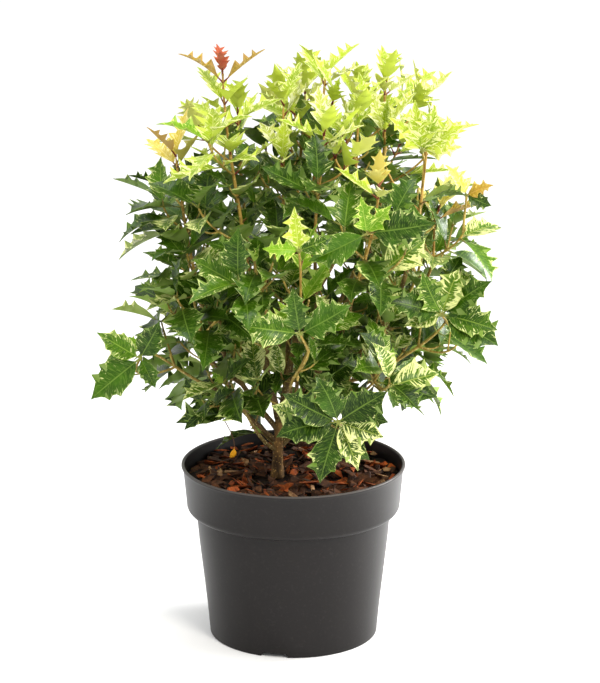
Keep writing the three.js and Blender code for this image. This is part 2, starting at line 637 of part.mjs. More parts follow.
// A leaf mass in one closed skin: each side shoot and each leaf grows out of one face of its stem
function massSolid(leader) {
  const points = [];
  const faces = [];
  const add = (p) => points.push(p) - 1;

  function nearestTurn(loop, wanted) {
    const misfit = (turn) =>
      wanted.reduce((sum, p, i) => sum + p.distanceTo(points[loop[(i + turn) % loop.length]]), 0);
    const turns = loop.map((_, i) => i).sort((a, b) => misfit(a) - misfit(b));
    return loop.map((_, i) => loop[(i + turns[0]) % loop.length]);
  }

  function ringAt(shoot, position) {
    const share = position / shoot.full;
    const centre = pointAt(shoot.line, share);
    const frame = frameAt(shoot, share);
    const radius = (shoot.r0 + (shoot.r1 - shoot.r0) * share) * SQUARE_STEM;
    return [0, 1, 2, 3].map((k) => {
      const out = spunRound(frame, shoot.turn + Math.PI / 4 + (k * Math.PI) / 2);
      return centre.clone().addScaledVector(out, radius);
    });
  }

  function joinRings(lower, upper, openFace) {
    lower.forEach((a, k) => {
      const b = lower[(k + 1) % SHOOT_SIDES];
      const [c, d] = [upper[(k + 1) % SHOOT_SIDES], upper[k]];
      const carried = openFace.find((c) => c.face === k);
      if (!carried) faces.push([a, b, c], [a, c, d]);
      else if (carried.leaf) addLeaf([a, b, c, d], carried.leaf);
      else addShoot(carried.shoot, [a, b, c, d]);
    });
  }

  function addLeaf(loop, leaf) {
    const { root, normal, side } = leaf;
    const corners = [[1, 1], [-1, 1], [-1, -1], [1, -1]];
    const wanted = corners.map(([x, y]) => root.clone().addScaledVector(side, x).addScaledVector(normal, y));
    const [topRight, topLeft, lowLeft, lowRight] = nearestTurn(loop, wanted);
    const made = leafPoints(leaf).map(add);
    const edge = made.slice(0, 7);
    const [top, bottom] = made.slice(7);
    const upper = [topRight, topLeft, ...edge.toReversed()];
    const lower = [lowLeft, lowRight, ...edge];
    upper.forEach((a, i) => faces.push([top, a, upper[(i + 1) % upper.length]]));
    lower.forEach((a, i) => faces.push([bottom, a, lower[(i + 1) % lower.length]]));
    faces.push([topLeft, lowLeft, edge.at(-1)], [lowRight, topRight, edge[0]]);
  }

  function addShoot(shoot, loop) {
    const half = NODE_HEIGHT / 2;
    const sites = [...new Set(shoot.carried.map((c) => c.position))].sort((a, b) => a - b);
    const stations = sites.flatMap((position) => {
      const middle = Math.min(position, shoot.full - half);
      const here = shoot.carried.filter((c) => c.position === position);
      return [{ position: middle - half }, { position: middle + half, here }];
    });
    const steps = shoot.line.length - 1;
    for (let i = loop ? 1 : 0; i <= steps; i++) {
      const position = (i / steps) * shoot.full;
      const room = i === 0 || i === steps ? 2 * NODE_HEIGHT : RING_SPACING;
      if (stations.every((s) => Math.abs(s.position - position) > room)) stations.push({ position });
    }
    stations.sort((a, b) => a.position - b.position);
    let ring = loop;
    for (const { position, here } of stations) {
      const wanted = ringAt(shoot, position);
      const next = wanted.map(add);
      if (!ring) faces.push([next[0], next[2], next[1]], [next[0], next[3], next[2]]);
      else joinRings(ring === loop ? nearestTurn(loop, wanted) : ring, next, here ?? []);
      ring = next;
    }
    const bud = add(shoot.line.at(-1).clone().addScaledVector(directionAt(shoot.line, 1), BUD));
    ring.forEach((a, k) => faces.push([a, ring[(k + 1) % SHOOT_SIDES], bud]));
  }

  addShoot(leader, null);
  return solidFrom(points, faces);
}

// Pot
function potSolid() {
  const collarFoot = POT_HEIGHT - COLLAR_HEIGHT;
  const profile = [
    [0, 0],
    [BASE_DISC_RADIUS, 0],
    [BASE_DISC_RADIUS + 2, BASE_LIFT],
    [FOOT_RADIUS - WALL - 1.5, BASE_LIFT],
    [FOOT_RADIUS - WALL, 0],
    [FOOT_RADIUS - 0.6, 0],
    [FOOT_RADIUS, 1],
    [BODY_TOP_RADIUS, collarFoot - 5],
    [COLLAR_FOOT_RADIUS - 1.6, collarFoot - 2.4],
    [COLLAR_FOOT_RADIUS, collarFoot + 1],
    [RIM_RADIUS - 1, POT_HEIGHT - 3],
    [RIM_RADIUS, POT_HEIGHT - 1.5],
    [RIM_RADIUS - 0.3, POT_HEIGHT],
    [RIM_RADIUS - WALL - 0.6, POT_HEIGHT],
    [COLLAR_FOOT_RADIUS - WALL - 0.8, collarFoot + 2.5],
    [BODY_TOP_RADIUS - WALL, collarFoot - 2.2],
    [FOOT_RADIUS - WALL + 0.4, BASE_LIFT + WALL],
    [0, BASE_LIFT + WALL],
  ].map(([r, z]) => new THREE.Vector2(r, z));
  const shell = new THREE.LatheGeometry(profile, POT_SEGMENTS).rotateX(Math.PI / 2);
  const cutters = [];
  for (let k = 0; k < NOTCHES; k++) {
    const notch = new THREE.BoxGeometry(NOTCH_DEPTH, NOTCH_WIDTH, 2 * (BASE_LIFT - 0.2));
    notch.translate(FOOT_RADIUS, 0, 0).rotateZ(FIRST_NOTCH + (2 * Math.PI * k) / NOTCHES);
    cutters.push(solidOfGeometry(notch));
  }
  for (let k = 0; k < DRAINS; k++) {
    const drain = new THREE.CylinderGeometry(DRAIN_RADIUS, DRAIN_RADIUS, 12, 8).rotateX(Math.PI / 2);
    drain.translate(DRAIN_RING_RADIUS, 0, BASE_LIFT).rotateZ(FIRST_NOTCH + (2 * Math.PI * (k + 0.5)) / DRAINS);
    cutters.push(solidOfGeometry(drain));
  }
  return solidOfGeometry(shell).subtract(wasm.Manifold.union(cutters));
}

// Mulch: a body that follows the inside of the pot under an uneven top
function soilSolid() {
  const collarFoot = POT_HEIGHT - COLLAR_HEIGHT;
  const side = [
    [FOOT_RADIUS - WALL - 0.1, BASE_LIFT + WALL + GAP],
    [BODY_TOP_RADIUS - WALL - GAP - 0.2, collarFoot - 2.2],
    [COLLAR_FOOT_RADIUS - WALL - 1.4, collarFoot + 2.5],
  ];
  const slope = (RIM_RADIUS - COLLAR_FOOT_RADIUS) / COLLAR_HEIGHT;
  const topRadius = side[2][0] + (SOIL_LEVEL - side[2][1]) * slope * 0.95;
  const points = [new THREE.Vector3(0, 0, side[0][1])];
  const ringAt = (radius, height) => {
    for (let k = 0; k < SOIL_SEGMENTS; k++) {
      const angle = (2 * Math.PI * k) / SOIL_SEGMENTS;
      const [x, y] = [radius * Math.cos(angle), radius * Math.sin(angle)];
      points.push(new THREE.Vector3(x, y, height(x, y, k)));
    }
  };
  side.forEach(([radius, z]) => ringAt(radius, () => z));
  for (let ring = SOIL_RINGS; ring > 0; ring--)
    ringAt((topRadius * ring) / SOIL_RINGS, (x, y, k) => {
      const fromTrunk = Math.hypot(x - TRUNK.foot[0], y - TRUNK.foot[1]);
      const bump = fromTrunk < FLAT_ROUND_TRUNK ? 0 : CHIP_BUMP * (draw(40, ring, k) - 0.6);
      return SOIL_LEVEL + bump;
    });
  points.push(new THREE.Vector3(0, 0, SOIL_LEVEL));
  const rings = side.length + SOIL_RINGS;
  const faces = [];
  for (let k = 0; k < SOIL_SEGMENTS; k++) {
    const next = (k + 1) % SOIL_SEGMENTS;
    faces.push([0, 1 + next, 1 + k]);
    for (let ring = 0; ring < rings - 1; ring++) {
      const [a, b] = [1 + ring * SOIL_SEGMENTS + k, 1 + ring * SOIL_SEGMENTS + next];
      faces.push([a, b, b + SOIL_SEGMENTS], [a, b + SOIL_SEGMENTS, a + SOIL_SEGMENTS]);
    }
    const inner = 1 + (rings - 1) * SOIL_SEGMENTS;
    faces.push([inner + k, inner + next, points.length - 1]);
  }
  return solidFrom(points, faces);
}

// Assembly
const COLOURS = {
  pot: "#353331",
  soil: "#4a2a17",
  trunk: "#513b1f",
  bough: "#8f7a35",
  bronze: "#a9a13c",
  lime: "#9db537",
  amber: "#7d8f34",
  fresh: "#7f9f36",
  dark: "#41591b",
};

const limbs = growLimbs();
const leaders = growLeaders(limbs);
const shoots = growSides(limbs, leaders);
placeLeaves(limbs, shoots, leaders);

const shrub = new THREE.Group();
shrub.add(meshOf("pot", potSolid(), COLOURS.pot, 0.55));
shrub.add(meshOf("mulch", soilSolid(), COLOURS.soil, 0.95));

const grown = [];
for (const [name, limb] of limbs) {
  let solid = tube(limb.line, radiiOf(limb), limb.sides);
  if (grown.length) solid = largestBody(solid.subtract(wasm.Manifold.union(grown)));
  grown.push(swollen(limb));
  const isTrunk = name === "trunk";
  shrub.add(meshOf(isTrunk ? name : "bough_" + name, solid, isTrunk ? COLOURS.trunk : COLOURS.bough, 0.8));
}

for (const leader of leaders) {
  let solid = massSolid(leader);
  if (!leader.onTip) {
    solid = largestBody(solid.subtract(wasm.Manifold.union(grown)));
    grown.push(swollen({ ...leader, sides: BOUGH_SIDES }));
  }
  shrub.add(meshOf("leaves_" + MASSES[leader.mass][0], solid, COLOURS[leader.kind], 0.45));
}

export default shrub;
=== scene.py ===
# Tricolor holly osmanthus, a young shrub in a black nursery pot
# The finished surfaces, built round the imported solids. Metres, Z up. The camera looks along +Y, and
# the front of the plant faces it.
import math

import bmesh
import bpy
import numpy as np
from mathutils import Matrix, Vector, noise


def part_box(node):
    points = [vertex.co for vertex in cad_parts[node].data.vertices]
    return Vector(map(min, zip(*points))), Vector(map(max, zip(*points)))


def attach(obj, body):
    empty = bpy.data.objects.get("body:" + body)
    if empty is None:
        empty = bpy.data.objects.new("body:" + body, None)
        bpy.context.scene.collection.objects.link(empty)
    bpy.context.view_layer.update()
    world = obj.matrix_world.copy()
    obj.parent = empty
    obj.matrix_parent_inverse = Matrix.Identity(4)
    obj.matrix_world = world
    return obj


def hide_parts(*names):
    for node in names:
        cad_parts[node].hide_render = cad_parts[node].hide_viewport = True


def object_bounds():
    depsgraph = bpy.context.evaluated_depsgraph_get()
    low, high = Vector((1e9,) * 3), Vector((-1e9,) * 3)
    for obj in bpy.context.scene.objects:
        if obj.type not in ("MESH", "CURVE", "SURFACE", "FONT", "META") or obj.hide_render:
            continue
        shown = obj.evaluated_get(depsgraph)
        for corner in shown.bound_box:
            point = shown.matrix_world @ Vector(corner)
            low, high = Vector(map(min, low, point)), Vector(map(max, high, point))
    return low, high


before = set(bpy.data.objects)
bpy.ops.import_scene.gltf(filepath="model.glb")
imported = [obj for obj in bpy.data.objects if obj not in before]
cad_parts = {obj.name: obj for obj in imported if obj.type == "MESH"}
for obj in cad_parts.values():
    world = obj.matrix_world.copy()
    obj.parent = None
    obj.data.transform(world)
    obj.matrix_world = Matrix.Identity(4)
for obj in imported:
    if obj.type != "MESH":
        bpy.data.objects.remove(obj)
cad_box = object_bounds()
MM = 0.001


# Pot
# A 3 litre container of black recycled polypropylene, thermoformed: a thin wall, a deep collar
# with a rolled lip, and a foot with notches and drain holes. Its wall is one profile spun round Z.
POT_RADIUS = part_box("pot")[1].x / MM
POT_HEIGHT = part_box("pot")[1].z / MM
COLLAR_FOOT_RADIUS = POT_RADIUS - 4.5
COLLAR_FOOT = POT_HEIGHT - 37
BODY_TOP_RADIUS = POT_RADIUS - 12.5
FOOT_RADIUS = POT_RADIUS - 23.5
POT_WALL = 2.0
BASE_LIFT = 4.0
BASE_DISC_RADIUS = 34.0
LIP_RADIUS = 1.4
FOOT_EDGE_RADIUS = 1.2
TUCK_RADIUS = 1.7
SHOULDER_RADIUS = 5.5
SPIN_STEPS = 192
MERGE_DISTANCE = 0.01
POT_CREASE = math.radians(40)
NOTCHES = 3
NOTCH_HALF_WIDTH = 10.5
NOTCH_HEIGHT = 3.7
FIRST_NOTCH = math.radians(-103.8)
DRAINS = 8
DRAIN_RADIUS = 4.5
DRAIN_RING_RADIUS = 56.0
DRILL_SIDES = 24
DRILL_DEPTH = 20.0
COLOUR_MIX = {"output": 2, "data_type": "RGBA"}


def colour(code):
    """Linear colour of an sRGB hex value."""
    channels = [int(code[i:i + 2], 16) / 255 for i in (1, 3, 5)]
    linear = [c / 12.92 if c <= 0.04045 else ((c + 0.055) / 1.055) ** 2.4 for c in channels]
    return (*linear, 1.0)


def new_material(name, **sockets):
    """A material with its shader, whose sockets take plain values."""
    material = bpy.data.materials.new(name)
    material.use_nodes = True
    shader = material.node_tree.nodes["Principled BSDF"]
    for key, value in sockets.items():
        shader.inputs[key.replace("_", " ")].default_value = value
    return material, material.node_tree, shader


def add_node(tree, kind, sockets, output=0, **settings):
    """A new shader node's output; a socket that is given another node's output is linked to it.

    A Mix takes its share in socket 0 and its colours in 6 and 7. A MapRange takes its value in 0,
    where that starts and ends in 1 and 2, and what comes out there in 3 and 4.
    """
    node = tree.nodes.new("ShaderNode" + kind)
    for key, value in settings.items():
        setattr(node, key, value)
    for key, value in sockets.items():
        if isinstance(value, bpy.types.NodeSocket):
            tree.links.new(value, node.inputs[key])
        else:
            node.inputs[key].default_value = value
    return node.outputs[output]


def laid_over(tree, base, top, value, low, high, least=0.0, most=1.0):
    """One colour laid over another, by its least share where a value is low and its most where high."""
    share = add_node(tree, "MapRange", {0: value, 1: low, 2: high, 3: least, 4: most})
    return add_node(tree, "Mix", {0: share, 6: base, 7: top}, **COLOUR_MIX)


def connect(tree, shader, **outputs):
    """Links nodes' outputs to the shader's sockets."""
    for key, output in outputs.items():
        tree.links.new(output, shader.inputs[key.replace("_", " ")])


def add_piece(name, mesh, materials, replaced=()):
    """An object of the plant's one body with its materials; the parts that it replaces are hidden."""
    for material in materials:
        mesh.materials.append(material)
    piece = bpy.data.objects.new(name, mesh)
    bpy.context.scene.collection.objects.link(piece)
    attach(piece, "root")
    if replaced:
        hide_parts(*replaced)
    return piece


def mesh_of(bm, name):
    """The bmesh as a smooth-shaded mesh with its faces turned outward."""
    bmesh.ops.recalc_face_normals(bm, faces=bm.faces[:])
    mesh = bpy.data.meshes.new(name)
    bm.to_mesh(mesh)
    bm.free()
    mesh.shade_smooth()
    return mesh


def arc_of(centre, radius, start, end, steps):
    """Points of a circle's arc in the profile's plane, angles in degrees."""
    r, z = centre
    angles = [math.radians(start + (end - start) * i / steps) for i in range(steps + 1)]
    return [(r + radius * math.cos(angle), z + radius * math.sin(angle)) for angle in angles]


def spun_body(profile, steps):
    """A closed body: a profile that starts and ends on the axis, spun round Z."""
    bm = bmesh.new()
    verts = [bm.verts.new((r * MM, 0, z * MM)) for r, z in profile]
    edges = [bm.edges.new(pair) for pair in zip(verts, verts[1:])]
    bmesh.ops.spin(
        bm, geom=verts + edges, cent=(0, 0, 0), axis=(0, 0, 1), angle=2 * math.pi, steps=steps, use_merge=True
    )
    bmesh.ops.remove_doubles(bm, verts=bm.verts[:], dist=MERGE_DISTANCE * MM)
    return bm


def pot_profile():
    """Half section of the pot, from the middle of its underside up the outside and back inside."""
    lip_centre = (POT_RADIUS - LIP_RADIUS, POT_HEIGHT - LIP_RADIUS)
    shoulder = (COLLAR_FOOT_RADIUS - SHOULDER_RADIUS, COLLAR_FOOT + 1.5)
    inner_shoulder = (COLLAR_FOOT_RADIUS - POT_WALL - SHOULDER_RADIUS, COLLAR_FOOT + 3.5)
    return [
        (0, 0),
        (BASE_DISC_RADIUS, 0),
        (BASE_DISC_RADIUS + 2, BASE_LIFT),
        (FOOT_RADIUS - POT_WALL - 1.5, BASE_LIFT),
        (FOOT_RADIUS - POT_WALL, 0.4),
        *arc_of((FOOT_RADIUS - FOOT_EDGE_RADIUS, FOOT_EDGE_RADIUS), FOOT_EDGE_RADIUS, -90, 0, 4),
        (FOOT_RADIUS + 0.2, NOTCH_HEIGHT + 0.4),
        (FOOT_RADIUS + 2.2, 26),
        (BODY_TOP_RADIUS - 2.3, COLLAR_FOOT - 30),
        (BODY_TOP_RADIUS - 0.2, COLLAR_FOOT - 7),
        *arc_of((BODY_TOP_RADIUS + 1.6, COLLAR_FOOT - 5.6), TUCK_RADIUS, 180, 100, 4),
        *arc_of(shoulder, SHOULDER_RADIUS, -78, 0, 8),
        (POT_RADIUS - 1.6, POT_HEIGHT - 4),
        *arc_of(lip_centre, LIP_RADIUS, -35, 180, 10),
        (POT_RADIUS - POT_WALL - 1.5, POT_HEIGHT - 4),
        *arc_of(inner_shoulder, SHOULDER_RADIUS, 0, -78, 6),
        (BODY_TOP_RADIUS - POT_WALL, COLLAR_FOOT - 4),
        (FOOT_RADIUS - POT_WALL + 0.4, BASE_LIFT + POT_WALL),
        (0, BASE_LIFT + POT_WALL),
    ]


def raise_notches(bm):
    """Lifts the foot's edge where water runs out from under the pot."""
    spacing = 2 * math.pi / NOTCHES
    for vert in bm.verts:
        radius = vert.co.xy.length / MM
        if radius < FOOT_RADIUS - POT_WALL - 0.8 or vert.co.z > NOTCH_HEIGHT * MM:
            continue
        angle = math.atan2(vert.co.y, vert.co.x) - FIRST_NOTCH
        from_notch = abs((angle + spacing / 2) % spacing - spacing / 2) * radius
        if from_notch < NOTCH_HALF_WIDTH:
            vert.co.z = NOTCH_HEIGHT * MM


def cut_drains(piece):
    """Drills the ring of drain holes through the base."""
    bm = bmesh.new()
    size = {"radius1": DRAIN_RADIUS * MM, "radius2": DRAIN_RADIUS * MM, "depth": DRILL_DEPTH * MM}
    ring = DRAIN_RING_RADIUS * MM
    for k in range(DRAINS):
        angle = FIRST_NOTCH + 2 * math.pi * (k + 0.5) / DRAINS
        drill = bmesh.ops.create_cone(bm, cap_ends=True, segments=DRILL_SIDES, **size)
        place = (ring * math.cos(angle), ring * math.sin(angle), BASE_LIFT * MM)
        bmesh.ops.translate(bm, verts=drill["verts"], vec=place)
    drills = bpy.data.objects.new("drills", mesh_of(bm, "drills"))
    bpy.context.scene.collection.objects.link(drills)
    cut = piece.modifiers.new("drains", "BOOLEAN")
    cut.object = drills
    cut.solver = "EXACT"
    depsgraph = bpy.context.evaluated_depsgraph_get()
    cut_mesh = bpy.data.meshes.new_from_object(piece.evaluated_get(depsgraph))
    piece.modifiers.clear()
    piece.data = cut_mesh
    bpy.data.objects.remove(drills)


# Recycled polypropylene, matt from the mould: near black with a soft sheen, faint drawn streaks
# from the forming and a dusting of lighter scuffs. The top of the rolled lip is painted lighter, a painted
# highlight.
pot_plastic, tree, shader = new_material("black polypropylene", Roughness=0.4, Specular_IOR_Level=0.22)
place = add_node(tree, "TexCoord", {}, output="Object")
stretched = add_node(tree, "Mapping", {"Vector": place, "Scale": (60, 60, 9)})
streaks = add_node(tree, "TexNoise", {"Vector": stretched, "Scale": 1.0, "Detail": 4.0})
dust = add_node(tree, "TexNoise", {"Vector": place, "Scale": 420.0, "Detail": 3.0})
pot_colour = add_node(tree, "Mix", {0: streaks, 6: colour("#0f0c0c"), 7: colour("#161211")}, **COLOUR_MIX)
pot_colour = laid_over(tree, pot_colour, colour("#34302e"), dust, 0.55, 0.8, most=0.25)
height = add_node(tree, "SeparateXYZ", {0: place}, output=2)
# Painted highlight: the top of the lip is laid over with a lighter grey, as if lit along the rim.
lip_highlight_foot, lip_highlight_top = (POT_HEIGHT - 1.5) * MM, (POT_HEIGHT - 0.6) * MM
pot_colour = laid_over(tree, pot_colour, colour("#55504d"), height, lip_highlight_foot, lip_highlight_top, most=0.8)
grain = add_node(tree, "Bump", {"Height": dust, "Strength": 0.06, "Distance": 0.2 * MM})
connect(tree, shader, Base_Color=pot_colour, Normal=grain)

bm = spun_body(pot_profile(), SPIN_STEPS)
raise_notches(bm)
pot = add_piece("nursery_pot", mesh_of(bm, "nursery_pot"), [pot_plastic], ["pot"])
cut_drains(pot)
pot.data.set_sharp_from_angle(angle=POT_CREASE)


# Mulch
# Composted bark over the root ball: a dark uneven bed, and on it broken chips of pine bark,
# reddish where they are fresh, grey brown where they are old, with pale fibres in the bark.
MULCH_TOP = 138.0
MULCH_RADIUS = 90.0
BED_RINGS = 14
BED_STEPS = 96
BED_DEPTH = 40.0
BED_BUMP = 2.4
BED_GRAIN = (90, 260)
CHIP_SHAPES = 7
CHIP_POINTS = 15
CHIP_WIDTH = 0.2
CHIP_THICKNESS = 0.13
CHIP_BEND = 0.9
CHIP_TILT = 1.1
CHIP_ROLL = 1.5
CHIP_SINK = 0.8
CHIP_EDGE_ROOM = 3.5
CHIP_WALL_ROOM = 5.5
CHIP_TRUNK_ROOM = 7
SMALL_CHIP_BIAS = 1.6
TRUNK_FOOT = (-13.5, -5.0)
SEED_RANGE = 4294967296


def draw(*keys):
    """A seeded choice between 0 and 1, the same for the same keys; one key tells what is chosen."""
    mixed = 2166136261
    for key in keys:
        mixed = ((mixed ^ key) * 16777619) % SEED_RANGE
    for shift, factor in ((15, 2246822519), (13, 3266489917)):
        mixed ^= mixed >> shift
        mixed = (mixed * factor) % SEED_RANGE
    mixed ^= mixed >> 16
    return mixed / SEED_RANGE


def mulch_bed():
    """The root ball's top, spun as rings and roughened, down to where the pot hides it."""
    rings = [(MULCH_RADIUS * (1 - i / BED_RINGS), MULCH_TOP) for i in range(BED_RINGS + 1)]
    side = [
        (0, COLLAR_FOOT - BED_DEPTH),
        (BODY_TOP_RADIUS - 6, COLLAR_FOOT - BED_DEPTH),
        (BODY_TOP_RADIUS - 3, COLLAR_FOOT - 4),
        (COLLAR_FOOT_RADIUS - 4, COLLAR_FOOT + 4),
    ]
    bm = spun_body(side + rings, BED_STEPS)
    coarse, fine = BED_GRAIN
    for vert in bm.verts:
        if vert.co.z > (MULCH_TOP - 1) * MM:
            rough = noise.noise(vert.co * coarse) + 0.6 * noise.noise(vert.co * fine)
            vert.co.z += BED_BUMP * MM * (rough - 0.5)
    return bm


def chip_bark(name, dark, light, fibre):
    """Broken pine bark: layered browns that change within a few millimetres, with pale fibres."""
    material, tree, shader = new_material(name, Roughness=0.85, Specular_IOR_Level=0.3)
    place = add_node(tree, "TexCoord", {}, output="Object")
    blotches = add_node(tree, "TexNoise", {"Vector": place, "Scale": 160.0, "Detail": 5.0})
    base = laid_over(tree, colour(dark), colour(light), blotches, 0.35, 0.66)
    layered = add_node(tree, "Mapping", {"Vector": place, "Scale": (900, 300, 1400)})
    strands = add_node(tree, "TexNoise", {"Vector": layered, "Scale": 1.0, "Detail": 3.0})
    mixed = laid_over(tree, base, colour(fibre), strands, 0.58, 0.72, most=0.6)
    relief = add_node(tree, "Bump", {"Height": strands, "Strength": 0.5, "Distance": 0.5 * MM})
    connect(tree, shader, Base_Color=mixed, Normal=relief)
    return material


def chip_shape(seed):
    """One bark chip, about 1 long, as the hull of scattered points in a thin wedge."""
    bm = bmesh.new()
    for i in range(CHIP_POINTS):
        along = draw(60, seed, i) - 0.5
        width = CHIP_WIDTH * (1 + draw(61, seed, i // 3))
        across = (draw(62, seed, i) - 0.5) * 2 * width * (1 - abs(along))
        height = (draw(63, seed, i) - 0.5) * CHIP_THICKNESS
        bend = CHIP_BEND * along * along * (draw(64, seed) - 0.4)
        bm.verts.new((along, across, height + bend))
    hull = bmesh.ops.convex_hull(bm, input=bm.verts[:])
    bmesh.ops.delete(bm, geom=hull["geom_interior"], context="VERTS")
    bmesh.ops.recalc_face_normals(bm, faces=bm.faces[:])
    bm.verts.index_update()
    points = np.array([v.co for v in bm.verts])
    faces = [[v.index for v in f.verts] for f in bm.faces]
    bm.free()
    return points, faces


def turned(points, yaw, tilt, roll):
    """Points turned about X by roll, about Y by tilt and about Z by yaw."""
    for angle, a, b in [(roll, 1, 2), (tilt, 2, 0), (yaw, 0, 1)]:
        cos, sin = math.cos(angle), math.sin(angle)
        made = points.copy()
        made[:, a] = points[:, a] * cos - points[:, b] * sin
        made[:, b] = points[:, a] * sin + points[:, b] * cos
        points = made
    return points


def scattered(kind, count, least, most, flatness, rise):
    """Joined chips over the bed: more than one layer, tilted at random, none in the trunk."""
    shapes = [chip_shape(100 * kind + k) for k in range(CHIP_SHAPES)]
    points, faces = [], []
    total = 0
    for i in range(count):
        radius = (MULCH_RADIUS - CHIP_EDGE_ROOM) * math.sqrt(draw(70, kind, i))
        angle = 2 * math.pi * draw(71, kind, i)
        size = least + (most - least) * draw(72, kind, i) ** SMALL_CHIP_BIAS
        x, y = radius * math.cos(angle), radius * math.sin(angle)
        if math.hypot(x - TRUNK_FOOT[0], y - TRUNK_FOOT[1]) < CHIP_TRUNK_ROOM + 0.3 * size:
            continue
        shape, shape_faces = shapes[int(draw(73, kind, i) * CHIP_SHAPES)]
        yaw = 2 * math.pi * draw(74, kind, i)
        if POT_RADIUS - CHIP_WALL_ROOM - radius < size / 2:
            yaw = angle + math.pi / 2
        tilt = (draw(75, kind, i) - 0.5) * CHIP_TILT
        roll = (draw(76, kind, i) - 0.5) * CHIP_ROLL
        chip = turned(shape * (size, size, size * flatness), yaw, tilt, roll)
        height = MULCH_TOP - CHIP_SINK + rise * draw(77, kind, i)
        points.append(chip + (x, y, height))
        faces.extend([v + total for v in face] for face in shape_faces)
        total += len(shape)
    mesh = bpy.data.meshes.new("chips")
    mesh.from_pydata(np.concatenate(points) * MM, [], faces)
    return mesh


# The two browns of each bark and its fibres
BARKS = {
    "fines": ("#150a04", "#29160b", "#3f2614"),
    "dark": ("#26130a", "#5a351c", "#7a5030"),
    "red": ("#66290c", "#b0531a", "#cf8a4c"),
    "pale": ("#70492a", "#b08a60", "#cfae86"),
}
bed = mesh_of(mulch_bed(), "mulch_bed")
add_piece("mulch_bed", bed, [chip_bark("bark fines", *BARKS["fines"])], ["mulch"])
# Bark, count, least and greatest length, flatness, height of the layer
CHIP_LAYERS = [
    ("dark", 330, 12, 30, 0.6, 4.5),
    ("red", 160, 10, 27, 0.6, 5.5),
    ("pale", 34, 7, 20, 0.6, 6.0),
]
for kind, (shade, *layer) in enumerate(CHIP_LAYERS):
    chips = scattered(kind, *layer)
    add_piece("bark_chips_" + shade, chips, [chip_bark(shade + " pine bark", *BARKS[shade])])


# Growth
# How the shrub grew: a trunk, boughs that leave it, and on each bough's tip and low on the trunk
# a leafy shoot that keeps to its own space. Millimetres, and the same rule as the solids.
UP = np.array([0.0, 0.0, 1.0])
GOLDEN_ANGLE = math.radians(137.508)
GAP = 0.3
BEND = 0.36
BOUGH_STEPS = 5
SHOOT_STEPS = 8
SIDE_STEPS = 4
NODE_SPACING = 20.0
NODE_JITTER = (0.88, 0.24)
BARE_FOOT = {"leader": 12, "side": 15}
LEADER_TAPER = 0.9
TRUNK_LEADER_RADIUS = 1.9
LEADER_TIP_RADIUS = 0.9
SPACE_CENTRE = 0.6
SPACE_REACH = 0.35
SPACE_LEAST = 6
SPACE_MARGIN = 0.5
LOWEST_LEAF = 143.0
SIDE_FLUSH_HEIGHT = 405.0
SIDE_FROM_TIP = 12
SIDE_LIFT = 15
SIDE_TRIES = 14
SIDE_TURN = math.radians(50)
# Shares of a side shoot's full length, by its place on the leader and by its own choice
SIDE_BY_SHARE = (1.1, -0.45)
SIDE_JITTER = (0.85, 0.3)
SIDE_SHORTENING = 0.7
SIDE_LEAVING = (0.55, 0.85)
SIDE_RISING = (0.5, 0.7)
SIDE_RADII = (1.0, 0.75)
SIDE_CLEARANCE = 2.2
CROWN_HEART = np.array([0.0, 5.0, 250.0])
TRUNK = {"foot": (*TRUNK_FOOT, 138.3), "fork": (-11.5, -4, 190), "radii": (6.3, 4.9, 4.6, 4.3, 4.1, 3.9)}

# Name, parent limb, share along the parent, tip, slope at the start and at the tip in degrees
# above the horizontal, radius at the start and at the tip
BOUGHS = [
    ("tall_left", "trunk", 1.0, (-37, -28, 322), 72, 86, 2.6, 2.0),
    ("top_centre", "trunk", 1.0, (14, 30, 352), 70, 84, 2.9, 2.0),
    ("front_top", "trunk", 0.92, (47, -44, 300), 58, 80, 2.6, 1.9),
    ("right_top", "trunk", 0.84, (94, -20, 325), 46, 80, 2.6, 1.9),
    ("upper_left", "trunk", 0.78, (-74, -8, 290), 50, 74, 2.4, 1.8),
    ("back_left_top", "trunk", 0.86, (-40, 56, 335), 60, 80, 2.5, 1.8),
    ("low_left", "trunk", 0.6, (-76, -22, 226), 36, 24, 1.9, 1.5),
    ("front", "trunk", 0.94, (-2, -66, 236), 38, 66, 1.9, 1.6),
    ("centre_left", "tall_left", 0.14, (-9, 12, 330), 74, 88, 1.9, 1.6),
    ("top_right", "top_centre", 0.16, (70, 32, 352), 50, 82, 2.1, 1.7),
    ("back_top", "top_centre", 0.12, (2, 66, 340), 62, 82, 2.1, 1.7),
    ("back_right_top", "top_right", 0.24, (58, 76, 326), 46, 80, 1.9, 1.6),
    ("mid_top", "top_centre", 0.52, (48, 4, 372), 54, 82, 1.8, 1.5),
    ("centre_top", "front_top", 0.42, (18, -26, 352), 66, 86, 1.8, 1.5),
    ("centre_front", "tall_left", 0.3, (-22, -58, 298), 56, 84, 1.7, 1.4),
    ("centre_light", "front_top", 0.2, (6, -56, 280), 56, 80, 1.7, 1.4),
    ("right_low", "front_top", 0.3, (54, -52, 226), 14, 34, 1.7, 1.4),
    ("right_front", "right_top", 0.28, (84, -29, 246), 24, 46, 1.8, 1.5),
    ("right", "right_top", 0.42, (112, 12, 308), 34, 60, 1.7, 1.5),
    ("right_back", "right_top", 0.2, (98, 44, 286), 36, 58, 1.8, 1.5),
    ("left", "upper_left", 0.4, (-70, -24, 250), 36, 60, 1.7, 1.4),
    ("left_back", "back_left_top", 0.36, (-86, 54, 284), 36, 52, 1.8, 1.5),
    ("back", "back_top", 0.24, (-6, 94, 268), 36, 52, 1.8, 1.5),
    ("back_right", "back_right_top", 0.26, (74, 88, 258), 26, 46, 1.7, 1.4),
]

